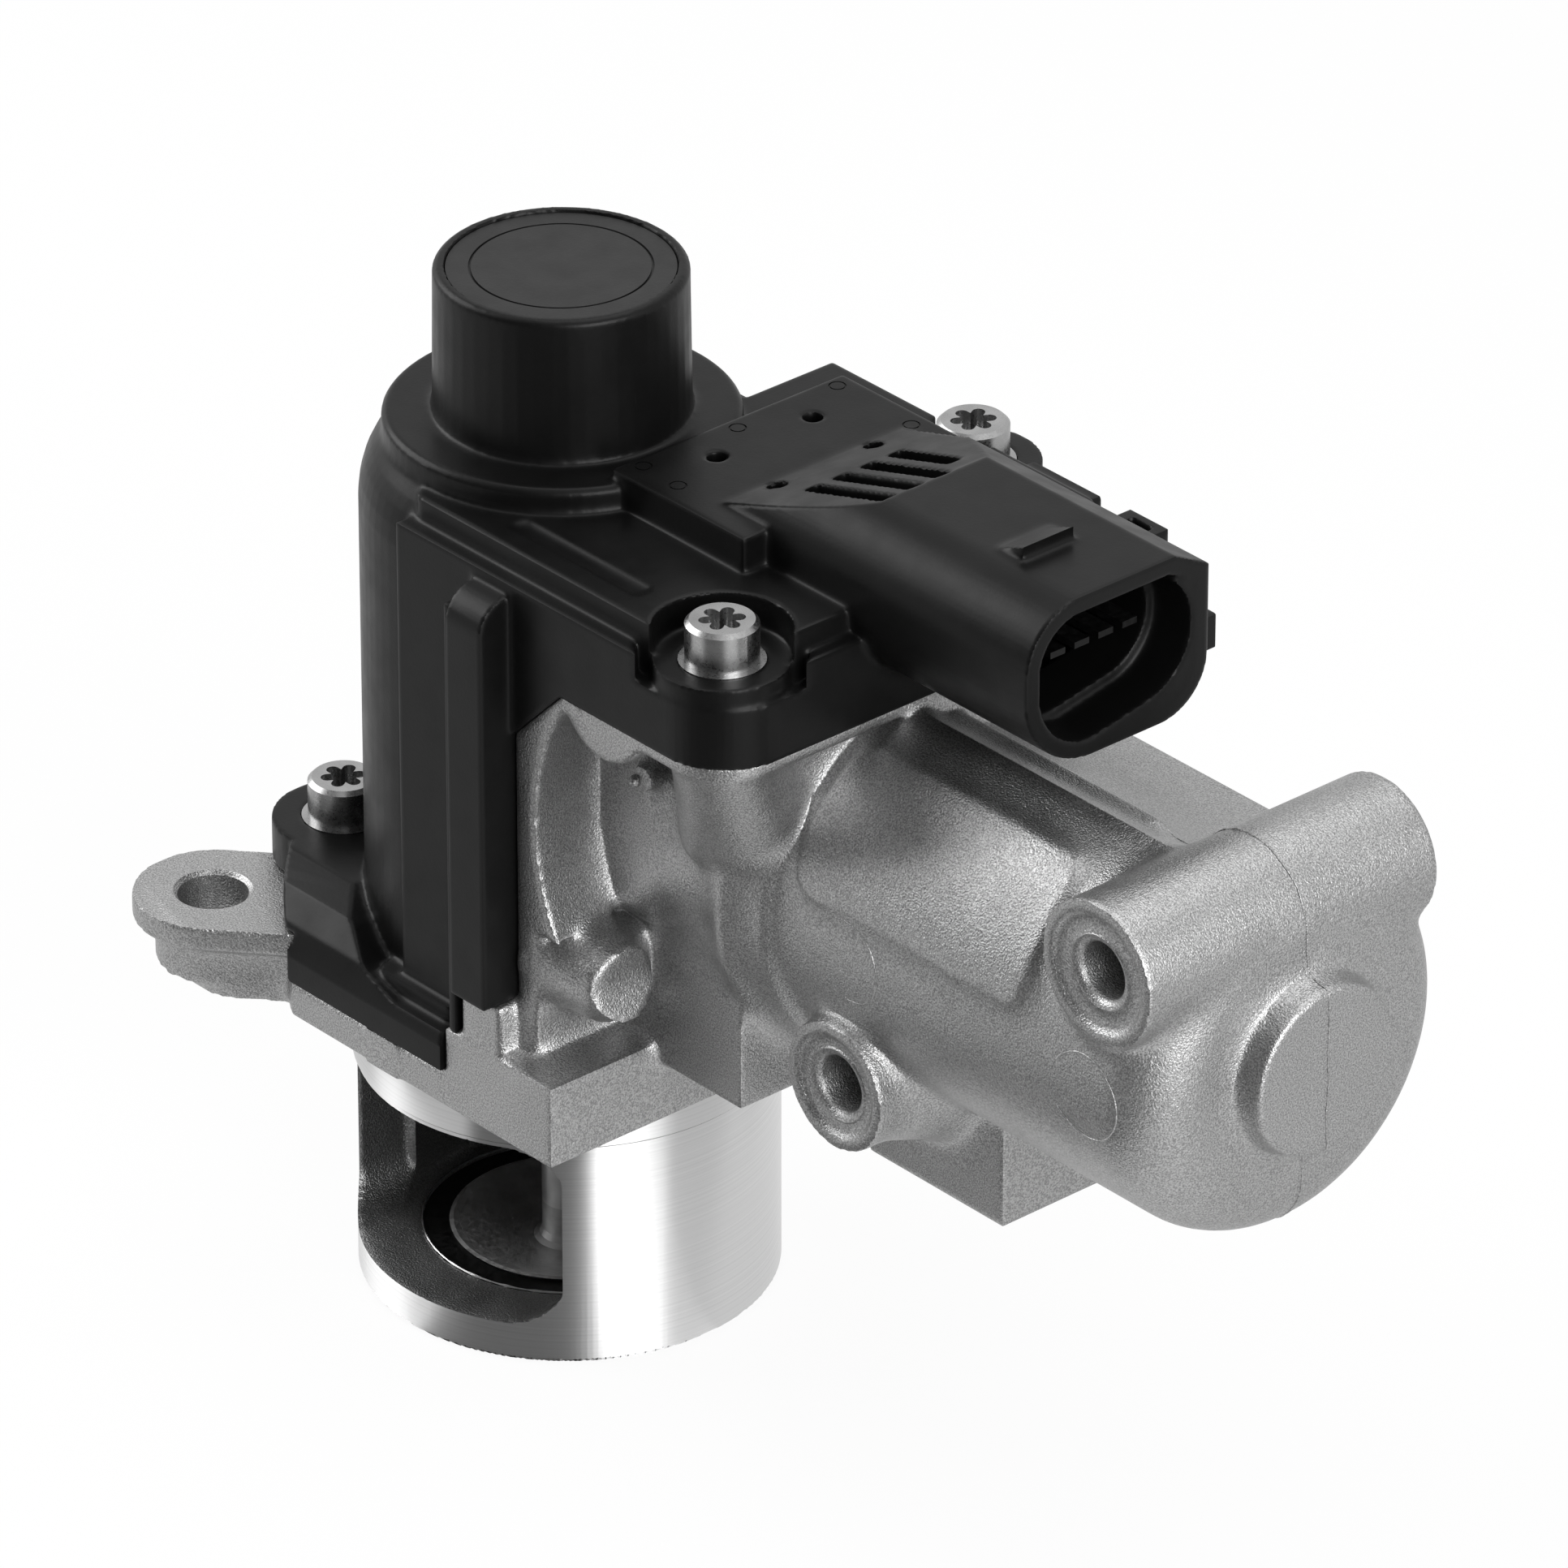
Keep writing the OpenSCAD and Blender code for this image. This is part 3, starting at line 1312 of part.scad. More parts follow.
module connector_terminals() {
  color("goldenrod") for (k = [0 : blades - 1]) blade(k, 0);
}

// Cover screws, each through its bushing into the body
module cover_screws() {
  color(steel_grey) for (s = SCREWS) translate([s[0], s[1], 0]) difference() {
    union() {
      zcyl(head_r, s[2], s[2] + head_h - 0.5);
      translate([0, 0, s[2] + head_h - 0.5]) cylinder(r1 = head_r, r2 = head_r - 0.5, h = 0.5);
      zcyl(shank_r, s[3] - thread_depth + 0.5, s[2] + 1);
    }
    translate([0, 0, s[2] + head_h - 2.4]) linear_extrude(3) six_lobe(2.5);
  }
}

module screw_bushings() {
  color(steel_grey) for (s = SCREWS) ztube(bushing_r, shank_r + 0.25, s[3], s[2], s[0], s[1]);
}

valve_housing();
seat_ring();
guide_bush();
stem_seal();
seal_retainer();
valve_disc();
valve_stem();
lift_yoke();
sensor_rod();
spring_retainer();
magnet_holder();
sensor_magnet();
return_spring();
gear_carrier();
carrier_screws();
crank_bush();
idler_bush();
crank_gear();
crank_shaft();
crank_pin();
crank_roller();
crank_clip();
idler_gear();
idler_pinion();
idler_shaft();
idler_clip();
motor_can();
motor_magnets();
brush_holder();
carbon_brushes();
motor_terminals();
front_bearing();
rear_bearing();
motor_screws();
motor_wave_washer();
rotor_shaft();
armature_core();
armature_windings();
commutator();
motor_pinion();
actuator_cover();
cover_seal();
sensor_lid();
sensor_board();
hall_sensor();
connector_terminals();
cover_screws();
screw_bushings();
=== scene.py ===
"""Looks of the motor-driven exhaust gas valve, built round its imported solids.

The row frame is in metres: +Z runs up the valve stem, +X runs along the motor towards its closed end, and
the origin lies on the stem axis in the plane of the flange underside. Lengths below are in millimetres
unless a comment says otherwise, and MM turns them into metres.
"""
import json
import math

import bmesh
import bpy
import numpy as np
from mathutils import Matrix, Vector, noise
from mathutils.bvhtree import BVHTree


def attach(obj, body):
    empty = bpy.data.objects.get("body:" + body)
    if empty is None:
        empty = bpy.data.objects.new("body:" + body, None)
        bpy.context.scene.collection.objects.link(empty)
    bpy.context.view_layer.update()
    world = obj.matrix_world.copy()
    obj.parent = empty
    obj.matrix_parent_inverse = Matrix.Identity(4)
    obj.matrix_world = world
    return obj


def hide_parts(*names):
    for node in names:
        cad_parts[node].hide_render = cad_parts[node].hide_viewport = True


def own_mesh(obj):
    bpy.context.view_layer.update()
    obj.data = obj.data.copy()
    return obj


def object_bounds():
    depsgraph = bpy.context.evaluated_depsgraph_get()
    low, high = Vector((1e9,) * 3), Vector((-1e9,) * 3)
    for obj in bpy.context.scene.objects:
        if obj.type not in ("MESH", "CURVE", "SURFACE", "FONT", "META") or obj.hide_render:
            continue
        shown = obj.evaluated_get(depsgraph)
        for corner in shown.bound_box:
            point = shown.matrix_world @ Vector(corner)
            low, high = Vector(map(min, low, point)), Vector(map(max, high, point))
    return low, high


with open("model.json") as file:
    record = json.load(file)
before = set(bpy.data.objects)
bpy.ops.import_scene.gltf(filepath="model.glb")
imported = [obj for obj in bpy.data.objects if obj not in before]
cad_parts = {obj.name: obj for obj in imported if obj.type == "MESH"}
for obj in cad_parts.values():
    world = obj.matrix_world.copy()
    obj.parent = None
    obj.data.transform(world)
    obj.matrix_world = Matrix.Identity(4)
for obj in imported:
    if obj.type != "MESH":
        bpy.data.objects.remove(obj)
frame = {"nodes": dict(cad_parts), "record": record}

START_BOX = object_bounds()
MM = 0.001
NODES = frame["nodes"]
MOUNTS = {mount["name"]: mount for mount in frame["record"]["mounts"]}

# Grid size of each piece that is rebuilt, then its rounds of smoothing and of corner filling
CASTING_SKIN = (0.45, 3, 45)
SPIGOT_SKIN = (0.4, 3, 0)
COVER_SKIN = (0.3, 2, 5)

# Most triangles that a rebuilt piece keeps
FACE_LIMIT = 190000

# Corners past every piece, of the boxes that split the housing into casting and spigot
FAR_LOW, FAR_HIGH = (-80, -80, -60), (150, 80, 80)
CASTING_LOW = -0.4
SPIGOT_HIGH = -0.3

# How far a cutting tool runs past the metal
PAST = 3

# Bores of the two long bolts, each (x, z, radius of the metal round it), and their spot faces
UPPER_BORE, LOWER_BORE = MOUNTS["upper_bolt_bore"], MOUNTS["lower_bolt_bore"]
BOLT_TUBES = (
    (UPPER_BORE["pos_m"][0] / MM, UPPER_BORE["pos_m"][2] / MM, 8.8),
    (LOWER_BORE["pos_m"][0] / MM, LOWER_BORE["pos_m"][2] / MM, 7.9),
)
BORE_R = UPPER_BORE["dims"]["r_mm"]
TUBE_FRONT, REAR_FACE = -11.4, 32.3
SPOT_WALL, SPOT_DEPTH = 1.2, 0.7

# Flange with its two bolting ears, which are milled on top
EARS = MOUNTS["flange_bolts"]
BOLT_X = EARS["pos_m"][0] / MM
BOLT_HALF_SPAN = EARS["dims"]["spacing_y_mm"] / 2
BOLT_HOLE_R = EARS["dims"]["hole_r_mm"]
FLANGE_TOP = 10.5
MILL_DEPTH = 0.12
HOLE_CHAMFER = 0.6
EAR_FACES = (
    ((-60, -60, FLANGE_TOP - MILL_DEPTH), (8, -18, FLANGE_TOP + 6)),
    ((-60, 18, FLANGE_TOP - MILL_DEPTH), (6, 60, FLANGE_TOP + 6)),
)

# Forms that the casting has beyond its solid: rods as two ends and radii, slabs as two corners
LUG_SWELL = ((20.4, -18.6, 22.4), (30.8, -18.2, 20.9), 6.4, 4.9)
LUG_WEB = ((20, -15.8, 17), (28.5, -8, 25))
BAR_FOOT = ((13.8, -27.8, 10), (20.6, -24.2, 16.9))
NUB_SEAT = ((30.9, -11, 46.8), (30.9, -14.9, 46.8), 1.6)
NUB_PLACE = (29.9, -15.25, 46.2)
NUB_PROFILE = [(-2, 0.2), (-0.3, 0.75), (0.25, 0.66), (0.5, 0.4), (0.62, 0.1)]

# Raised lines of the die: ejector rings as (name, middle, start and end angle), then the parting line
EJECTOR_RINGS = (
    ("ejector_ring_front", (61.5, 34.9), -100, 160),
    ("ejector_ring_end", (101, 34.8), -150, 170),
)
EJECTOR_R, EJECTOR_BEAD = 5.3, 0.13
MOTOR_Y = 12
PARTING_MIDDLE, PARTING_START, PARTING_END, PARTING_STEP = (82, 40), -62, 68, 0.5
PARTING_BEAD = 0.17
LINE_ROOM = 0.2
BEAD_SIDES = 6

# Spigot: its locating land is SPIGOT_R, and the rest is turned down to PLAIN_R
SPIGOT_R = MOUNTS["port_spigot"]["dims"]["r_mm"]
PLAIN_R = 25
LAND_LENGTH = 6.5
SPIGOT_END = -36
SPIGOT_SPARE = 0.3
SEAT_R, SEAT_FLOOR, SEAT_BEAD = 17.4, -31, 0.16

# Cover: the front screw with slabs of the plate round it (corner, corner, room), plug mouth and rear edge
SCREW_X, SCREW_Y = 47.2, -17
SCREW_CORNERS = (
    ((36, -24.95, 66), (SCREW_X, -5, 71), 9.7),
    ((SCREW_X, SCREW_Y, 66), (55.55, -5, 71), 9.7),
    ((36, -22.8, 66), (SCREW_X, -5, 74), 8),
    ((SCREW_X, -14, 66), (53.6, -5, 74), 8),
)
MOUTH = [(5.1, 75.7, 8.1), (4.9, 74, 7.9), (13, 75.6, 8), (7.5, 76.2, 8.1)]
MOUTH_LIP = 1.3
PLUG_SHELL = [(5.2, 75.8, 8.1), (5.2, 73.2, 8.1), (18, 70, 5), (21.6, 79.4, 1.2), (10, 82.7, 1.2)]
PLUG_BACK, MOUTH_STEP, PLUG_FRONT = 70, 77, 82.95
REAR_BLOCKS = (
    ((36, 30, 66), (66, 35, 70.4)),
    ((40, 31, 66), (51.5, 36.5, 73.2)),
    ((68, 20, 66.3), (76.8, 30.8, 70.6)),
)
REAR_LOOP, LOOP_HOLE = ((56.6, 31, 66), (63.2, 36, 73.8)), ((58.2, 32.6, 71), (61.6, 34.9, 76))
BAR_NOTCH = ((13.8, -60, 10.6), (30, -24.1, 16.9))
PLATFORM_Z = 78.5
RING_PLACES = ((19, 25.1), (19.2, 9.8), (31.7, 25.1), (19.1, -4.3), (25.2, -4.4))
RING_OUTER, RING_INNER, RING_DEPTH = 1.05, 0.85, 0.12

# Camera: angles in degrees, distances and shift of the aim in metres, lens and sensor in millimetres
CAMERA_AZIMUTH, CAMERA_ELEVATION, CAMERA_DISTANCE = 48.657, 29.433, 1.6017
AIM_RIGHT, AIM_UP = 0.0253, 0.02396
LENS, SENSOR = 314.41, 36

# Lamps: name, azimuth, elevation, size in metres and power in watts, all at one distance from one point
LAMPS = (
    ("right_box", -10, 22, 0.6, 6.5),
    ("left_box", -155, 30, 0.6, 5),
    ("top_box", 90, 75, 0.7, 2.6),
)
LAMP_DISTANCE = 0.9
LIT_POINT = (0.035, 0.0, 0.03)

# Floor: size in metres, colour, and how much of its own glow the camera and mirroring metal see
FLOOR_SIZE = 3
FLOOR_GREY = 0.9
FLOOR_SEEN, FLOOR_MIRRORED = 0.93, 0.8

# Levels of the floor's glow as metal mirrors it, which is painted reflection: the plain one, then sectors
# (azimuth, half width, edge, level), a bright one and a dark one that show as bands in the turned spigot
FLOOR_LEVEL = 0.72
PAINTED_GLOSS_SECTORS = ((-13, 17, 1.5, 0.95), (-58.5, 28, 3, 0.0))

# Room in reflections: level away from the dark side and on it, its direction and its soft edge's angles
ROOM_LEVEL, ROOM_DARK = 0.85, 0.05
DARK_AZIMUTH, DARK_ELEVATION, DARK_OUTER, DARK_INNER = -82, 10, 58, 41
ROOM_DIFFUSE = 0.36


# Mesh helpers

def from_bmesh(name, bm):
    """Turns a bmesh into an object, links it at the origin of the row frame and frees the bmesh."""
    mesh = bpy.data.meshes.new(name)
    bm.to_mesh(mesh)
    bm.free()
    thing = bpy.data.objects.new(name, mesh)
    bpy.context.scene.collection.objects.link(thing)
    return thing


def node_copy(name, node):
    """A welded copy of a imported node's mesh."""
    bm = bmesh.new()
    bm.from_mesh(NODES[node].data)
    bmesh.ops.remove_doubles(bm, verts=bm.verts, dist=1e-7)
    return from_bmesh(name, bm)


def rod(start, end, radius, end_radius=None, segments=96):
    """A closed cylinder or cone between two points."""
    a, b = Vector(start) * MM, Vector(end) * MM
    bm = bmesh.new()
    bmesh.ops.create_cone(
        bm, cap_ends=True, segments=segments, radius1=radius * MM,
        radius2=(radius if end_radius is None else end_radius) * MM, depth=(b - a).length)
    turn = (b - a).to_track_quat("Z", "Y").to_matrix().to_4x4()
    bm.transform(Matrix.Translation((a + b) / 2) @ turn)
    return from_bmesh("rod", bm)


def slab(low, high):
    """A closed box between two corners."""
    a, b = Vector(low) * MM, Vector(high) * MM
    bm = bmesh.new()
    bmesh.ops.create_cube(bm, size=1)
    bm.transform(Matrix.Translation((a + b) / 2) @ Matrix.Diagonal((*(b - a), 1)))
    return from_bmesh("slab", bm)


def lathe(profile, base, along, segments=96):
    """A closed solid of revolution from (distance along the axis, radius) pairs."""
    bm = bmesh.new()
    turns = [math.tau * i / segments for i in range(segments)]
    rings = []
    for distance, radius in profile:
        reach, height = radius * MM, distance * MM
        points = [(reach * math.cos(turn), reach * math.sin(turn), height) for turn in turns]
        rings.append([bm.verts.new(point) for point in points])
    for low, high in zip(rings, rings[1:]):
        for i in range(segments):
            j = (i + 1) % segments
            bm.faces.new((low[i], low[j], high[j], high[i]))
    bm.faces.new(list(reversed(rings[0])))
    bm.faces.new(rings[-1])
    bmesh.ops.recalc_face_normals(bm, faces=bm.faces)
    turn = Vector(along).to_track_quat("Z", "Y").to_matrix().to_4x4()
    bm.transform(Matrix.Translation(Vector(base) * MM) @ turn)
    return from_bmesh("lathe", bm)


def prism(discs, x_low, x_high, segments=48):
    """A closed prism along X over the hull of discs, each (y, z, radius)."""
    bm = bmesh.new()
    turns = [math.tau * i / segments for i in range(segments)]
    rim = [(y + r * math.cos(turn), z + r * math.sin(turn)) for y, z, r in discs for turn in turns]
    for x in (x_low, x_high):
        for y, z in rim:
            bm.verts.new(Vector((x, y, z)) * MM)
    hull = bmesh.ops.convex_hull(bm, input=bm.verts)
    inside = hull["geom_interior"] + hull["geom_unused"]
    spare = {e for e in inside if isinstance(e, bmesh.types.BMVert)}
    bmesh.ops.delete(bm, geom=list(spare), context="VERTS")
    bmesh.ops.recalc_face_normals(bm, faces=bm.faces)
    return from_bmesh("prism", bm)


def bake_modifiers(thing):
    """Replaces an object's mesh by the result of its modifiers."""
    depsgraph = bpy.context.evaluated_depsgraph_get()
    mesh = bpy.data.meshes.new_from_object(thing.evaluated_get(depsgraph), depsgraph=depsgraph)
    thing.modifiers.clear()
    thing.data = mesh


def combine(thing, tools, operation):
    """Joins tools to thing or cuts them from it, and deletes the tools."""
    for tool in tools:
        step = thing.modifiers.new("combine", "BOOLEAN")
        step.operation = operation
        step.solver = "MANIFOLD"
        step.object = tool
    bake_modifiers(thing)
    for tool in tools:
        bpy.data.objects.remove(tool)


def cut_from(thing, *tools):
    """The same object after the tools are cut from it."""
    combine(thing, tools, "DIFFERENCE")
    return thing


def soften(thing, voxel, rounds, fillet_rounds):
    """Rebuilds a solid on a fine grid, fills its inside corners and rounds its edges, as moulds do."""
    remesh = thing.modifiers.new("grid", "REMESH")
    remesh.mode = "VOXEL"
    remesh.voxel_size = voxel * MM
    bake_modifiers(thing)
    fill_corners(thing.data, fillet_rounds)
    smooth = thing.modifiers.new("smooth", "SMOOTH")
    smooth.factor = 0.5
    smooth.iterations = rounds
    bake_modifiers(thing)


def fill_corners(mesh, rounds):
    """Moves the points of hollow corners outwards, a little each round, until they form a fillet."""
    count = len(mesh.vertices)
    ends = np.empty(2 * len(mesh.edges), dtype=np.int64)
    mesh.edges.foreach_get("vertices", ends)
    ends = ends.reshape(-1, 2)
    tail = np.concatenate((ends[:, 0], ends[:, 1]))
    head = np.concatenate((ends[:, 1], ends[:, 0]))
    degree = np.bincount(tail, minlength=count)
    place, normal = np.empty(3 * count), np.empty(3 * count)
    for _ in range(rounds):
        mesh.vertices.foreach_get("co", place)
        mesh.vertex_normals.foreach_get("vector", normal)
        points, outward = place.reshape(-1, 3), normal.reshape(-1, 3)
        sums = [np.bincount(tail, weights=points[head, k], minlength=count) for k in range(3)]
        middle = np.stack(sums, 1) / degree[:, None]
        rise = np.sum((middle - points) * outward, 1)
        points += outward * np.maximum(rise, 0)[:, None]
        mesh.vertices.foreach_set("co", points.reshape(-1))
        mesh.update()


def thin_out(thing):
    """Reduces a dense mesh to about the most triangles that a piece keeps."""
    triangles = sum(len(face.vertices) - 2 for face in thing.data.polygons)
    if triangles > FACE_LIMIT:
        step = thing.modifiers.new("thin", "DECIMATE")
        step.ratio = FACE_LIMIT / triangles
        bake_modifiers(thing)


def keep_inside(thing, end_gap=0):
    """Holds an object within the box of the solids, and its +X end short of that by the gap."""
    low, high = (Vector(corner) for corner in START_BOX)
    high.x -= end_gap * MM
    for vertex in thing.data.vertices:
        vertex.co = [min(max(vertex.co[k], low[k]), high[k]) for k in range(3)]


def shade_smooth(thing, degrees=35):
    """Smooth shading with creases at edges sharper than the angle."""
    mesh = thing.data
    mesh.polygons.foreach_set("use_smooth", [True] * len(mesh.polygons))
    bm = bmesh.new()
    bm.from_mesh(mesh)
    limit = math.radians(degrees)
    for edge in bm.edges:
        edge.smooth = not (edge.is_manifold and edge.calc_face_angle(0) > limit)
    bm.to_mesh(mesh)
    bm.free()


def surface_of(thing):
    """A search tree of an object's faces."""
    bm = bmesh.new()
    bm.from_mesh(thing.data)
    tree = BVHTree.FromBMesh(bm)
    bm.free()
    return tree


def bead(name, points, radius, closed=False):
    """A thin raised line through points in metres, its width uneven as flash is."""
    bm = bmesh.new()
    count = len(points)
    turns = [math.tau * k / BEAD_SIDES for k in range(BEAD_SIDES)]
    rings = []
    for i, point in enumerate(points):
        before = points[i - 1] if closed or i else point
        after = points[(i + 1) % count] if closed or i < count - 1 else point
        run = (after - before).normalized()
        side = run.orthogonal().normalized()
        over = run.cross(side)
        end = 1 if closed else min(1, 0.15 + i / 4, 0.15 + (count - 1 - i) / 4)
        size = radius * MM * end * (0.75 + 0.6 * noise.noise(point * 900))
        rings.append([bm.verts.new(point + (side * math.cos(turn) + over * math.sin(turn)) * size)
                      for turn in turns])
    pairs = list(zip(rings, rings[1:]))
    if closed:
        pairs.append((rings[-1], rings[0]))
    for low, high in pairs:
        shift = min(range(BEAD_SIDES), key=lambda t: (high[t].co - low[0].co).length)
        for k in range(BEAD_SIDES):
            j = (k + 1) % BEAD_SIDES
            near, far = high[(k + shift) % BEAD_SIDES], high[(j + shift) % BEAD_SIDES]
            bm.faces.new((low[k], low[j], far, near))
    if not closed:
        bm.faces.new(list(reversed(rings[0])))
        bm.faces.new(rings[-1])
    bmesh.ops.recalc_face_normals(bm, faces=bm.faces)
    return from_bmesh(name, bm)


# Materials

class Finish:
    """A Principled material with helpers for the few patterns that the finishes share."""

    def __init__(self, name, colour, roughness, metallic=0.0):
        """Starts a material from its plain colour, roughness and metallic share."""
        self.material = bpy.data.materials.new(name)
        self.material.use_nodes = True
        self.nodes = self.material.node_tree.nodes
        self.links = self.material.node_tree.links
        self.shader = self.nodes["Principled BSDF"]
        self.shader.inputs["Base Color"].default_value = (*colour, 1)
        self.shader.inputs["Roughness"].default_value = roughness
        self.shader.inputs["Metallic"].default_value = metallic
        self.place = self.nodes.new("ShaderNodeTexCoord").outputs["Object"]
        self.bump = None

    def pattern(self, vector, detail):
        """A noise pattern over a vector."""
        field = self.nodes.new("ShaderNodeTexNoise")
        field.inputs["Scale"].default_value = 1
        field.inputs["Detail"].default_value = detail
        self.links.new(vector, field.inputs["Vector"])
        return field.outputs["Fac"]

    def grain(self, size, detail=2.0, stretch=(1, 1, 1)):
        """Noise whose features are about this size across, longer where it is stretched."""
        squash = self.nodes.new("ShaderNodeMapping")
        squash.inputs["Scale"].default_value = [1 / (size * MM) / s for s in stretch]
        self.links.new(self.place, squash.inputs["Vector"])
        return self.pattern(squash.outputs["Vector"], detail)

    def turned(self, spacing):
        """Fine rings round the stem axis, as a lathe tool leaves them."""
        split = self.nodes.new("ShaderNodeSeparateXYZ")
        self.links.new(self.place, split.inputs["Vector"])
        scale = self.nodes.new("ShaderNodeMath")
        scale.operation = "MULTIPLY"
        scale.inputs[1].default_value = 1 / (spacing * MM)
        self.links.new(split.outputs["Z"], scale.inputs[0])
        join = self.nodes.new("ShaderNodeCombineXYZ")
        self.links.new(scale.outputs[0], join.inputs["Z"])
        return self.pattern(join.outputs["Vector"], 3)

    def spread(self, value, low, high, start=0.3, end=0.7):
        """Maps a pattern to a range of numbers."""
        ramp = self.nodes.new("ShaderNodeMapRange")
        ramp.inputs["From Min"].default_value = start
        ramp.inputs["From Max"].default_value = end
        ramp.inputs["To Min"].default_value = low
        ramp.inputs["To Max"].default_value = high
        self.links.new(value, ramp.inputs["Value"])
        return ramp.outputs["Result"]

    def tint(self, value, dark, light):
        """Drives the base colour between two colours."""
        mix = self.nodes.new("ShaderNodeMix")
        mix.data_type = "RGBA"
        mix.inputs["A"].default_value = (*dark, 1)
        mix.inputs["B"].default_value = (*light, 1)
        self.links.new(value, mix.inputs["Factor"])
        self.links.new(mix.outputs["Result"], self.shader.inputs["Base Color"])

    def rough(self, value):
        """Drives the roughness."""
        self.links.new(value, self.shader.inputs["Roughness"])

    def raise_by(self, value, depth, strength=1.0):
        """Adds a bump pattern of the given depth."""
        node = self.nodes.new("ShaderNodeBump")
        node.inputs["Distance"].default_value = depth * MM
        node.inputs["Strength"].default_value = strength
        self.links.new(value, node.inputs["Height"])
        if self.bump is not None:
            self.links.new(self.bump, node.inputs["Normal"])
        self.bump = node.outputs["Normal"]
        self.links.new(self.bump, self.shader.inputs["Normal"])


def grey(value):
    """A neutral colour."""
    return (value, value, value)


def cast_aluminium(name, dark, light):
    """Blasted die casting with a fine sparkling grain over a coarser one."""
    finish = Finish(name, grey(light), 0.5, 0.92)
    finish.tint(finish.spread(finish.grain(0.2, 2), 0, 1, 0.38, 0.62), grey(dark), grey(light))
    finish.rough(finish.spread(finish.grain(6, 5), 0.3, 0.44))
    finish.raise_by(finish.grain(0.8, 2), 0.07, 0.7)
    finish.raise_by(finish.grain(0.24, 2), 0.1, 1)
    return finish.material


def machined_aluminium():
    """Turned aluminium with fine rings round the stem axis, which draw lamps out into upright bands."""
    finish = Finish("machined_aluminium", grey(0.86), 0.38, 1.0)
    rings = finish.turned(0.3)
    finish.tint(finish.spread(rings, 0, 1), grey(0.8), grey(0.92))
    finish.raise_by(rings, 0.006, 0.5)
    finish.shader.inputs["Anisotropic"].default_value = 1
    finish.shader.inputs["Anisotropic Rotation"].default_value = 0.25
    round_axis = finish.nodes.new("ShaderNodeTangent")
    round_axis.direction_type = "RADIAL"
    round_axis.axis = "Z"
    finish.links.new(round_axis.outputs["Tangent"], finish.shader.inputs["Tangent"])
    return finish.material


def plain_metal(name, value, roughness, size=0.6, depth=0.01, colour=None):
    """A worked metal with light tool marks."""
    base = colour or grey(value)
    dark, light = [c * 0.86 for c in base], [min(1, c * 1.08) for c in base]
    finish = Finish(name, base, roughness, 1.0)
    finish.tint(finish.spread(finish.grain(3, 4), 0, 1), dark, light)
    finish.rough(finish.spread(finish.grain(size, 3), roughness * 0.8, roughness * 1.25))
    finish.raise_by(finish.grain(size, 3), depth, 0.6)
    return finish.material


def moulded_plastic(name, value, roughness, grain_size=0.5, depth=0.02, colour=None, shine=0.5):
    """Moulded plastic with a fine eroded skin and faint flow marks."""
    base = colour or grey(value)
    finish = Finish(name, base, roughness)
    finish.shader.inputs["Specular IOR Level"].default_value = shine
    flow = finish.spread(finish.grain(14, 5, (1, 1, 2.5)), 0, 1)
    finish.tint(flow, [c * 0.8 for c in base], [c * 1.2 for c in base])
    finish.rough(finish.spread(finish.grain(4, 5), roughness * 0.88, roughness * 1.14))
    finish.raise_by(finish.grain(grain_size, 3), depth, 0.6)
    return finish.material


def wound_copper():
    """Enamelled winding wire lying in strands along the motor axis."""
    finish = Finish("winding_copper", (0.42, 0.16, 0.06), 0.3, 1.0)
    strands = finish.grain(0.5, 1, (24, 1, 1))
    finish.tint(finish.spread(strands, 0, 1), (0.22, 0.07, 0.02), (0.55, 0.22, 0.08))
    finish.raise_by(strands, 0.2, 0.9)
    return finish.material


def board_green():
    """Circuit board with a faint pattern of tracks under the lacquer."""
    finish = Finish("board_green", (0.01, 0.09, 0.035), 0.28)
    tracks = finish.grain(1.2, 0, (1, 4, 1))
    finish.tint(finish.spread(tracks, 0, 1, 0.48, 0.52), (0.008, 0.06, 0.02), (0.015, 0.12, 0.05))
    finish.raise_by(tracks, 0.03, 0.5)
    return finish.material


CAST = cast_aluminium("cast_aluminium", 0.26, 0.5)
# A darker copy of the cast aluminium for the walls inside the spigot, which is painted shade of the hollow
CAST_SHADED_INSIDE = cast_aluminium("cast_inside_painted_shade", 0.2, 0.34)
TURNED = machined_aluminium()
BLACK = moulded_plastic("black_plastic", 0.004, 0.36, 0.4, 0.015, shine=0.17)
LID_BLACK = moulded_plastic("lid_plastic", 0.008, 0.5, 0.4, 0.03, shine=0.35)
RUBBER = moulded_plastic("black_rubber", 0.015, 0.75, 0.8, 0.03)
ZINC = plain_metal("zinc_plate", 0.42, 0.3, 0.3, 0.006)
STEEL = plain_metal("ground_steel", 0.75, 0.36, 0.2, 0.004)
DARK_STEEL = plain_metal("dark_steel", 0.05, 0.42)
# The tinned connector blades get a near-black grey, which is painted shade of the plug's hollow
TIN_SHADED = plain_metal("tinned_blade_painted_shade", 0.04, 0.5)
VALVE_STEEL = plain_metal("valve_steel", 0.6, 0.5)
SPRING_STEEL = plain_metal("spring_steel", 0.32, 0.28)
CAN_STEEL = plain_metal("can_steel", 0.46, 0.36)
FERRITE = plain_metal("ferrite", 0.07, 0.6, 0.4, 0.04)
IRON = plain_metal("lamination_iron", 0.26, 0.45)
BRONZE = plain_metal("bronze", 0, 0.4, colour=(0.42, 0.22, 0.09))
BRASS = plain_metal("blade_brass", 0, 0.26, colour=(0.66, 0.45, 0.16))
COPPER = plain_metal("bar_copper", 0, 0.3, colour=(0.62, 0.24, 0.11))
WINDING = wound_copper()
GEAR_WHITE = moulded_plastic("gear_plastic", 0.5, 0.4, 0.6, 0.01, (0.55, 0.5, 0.38))
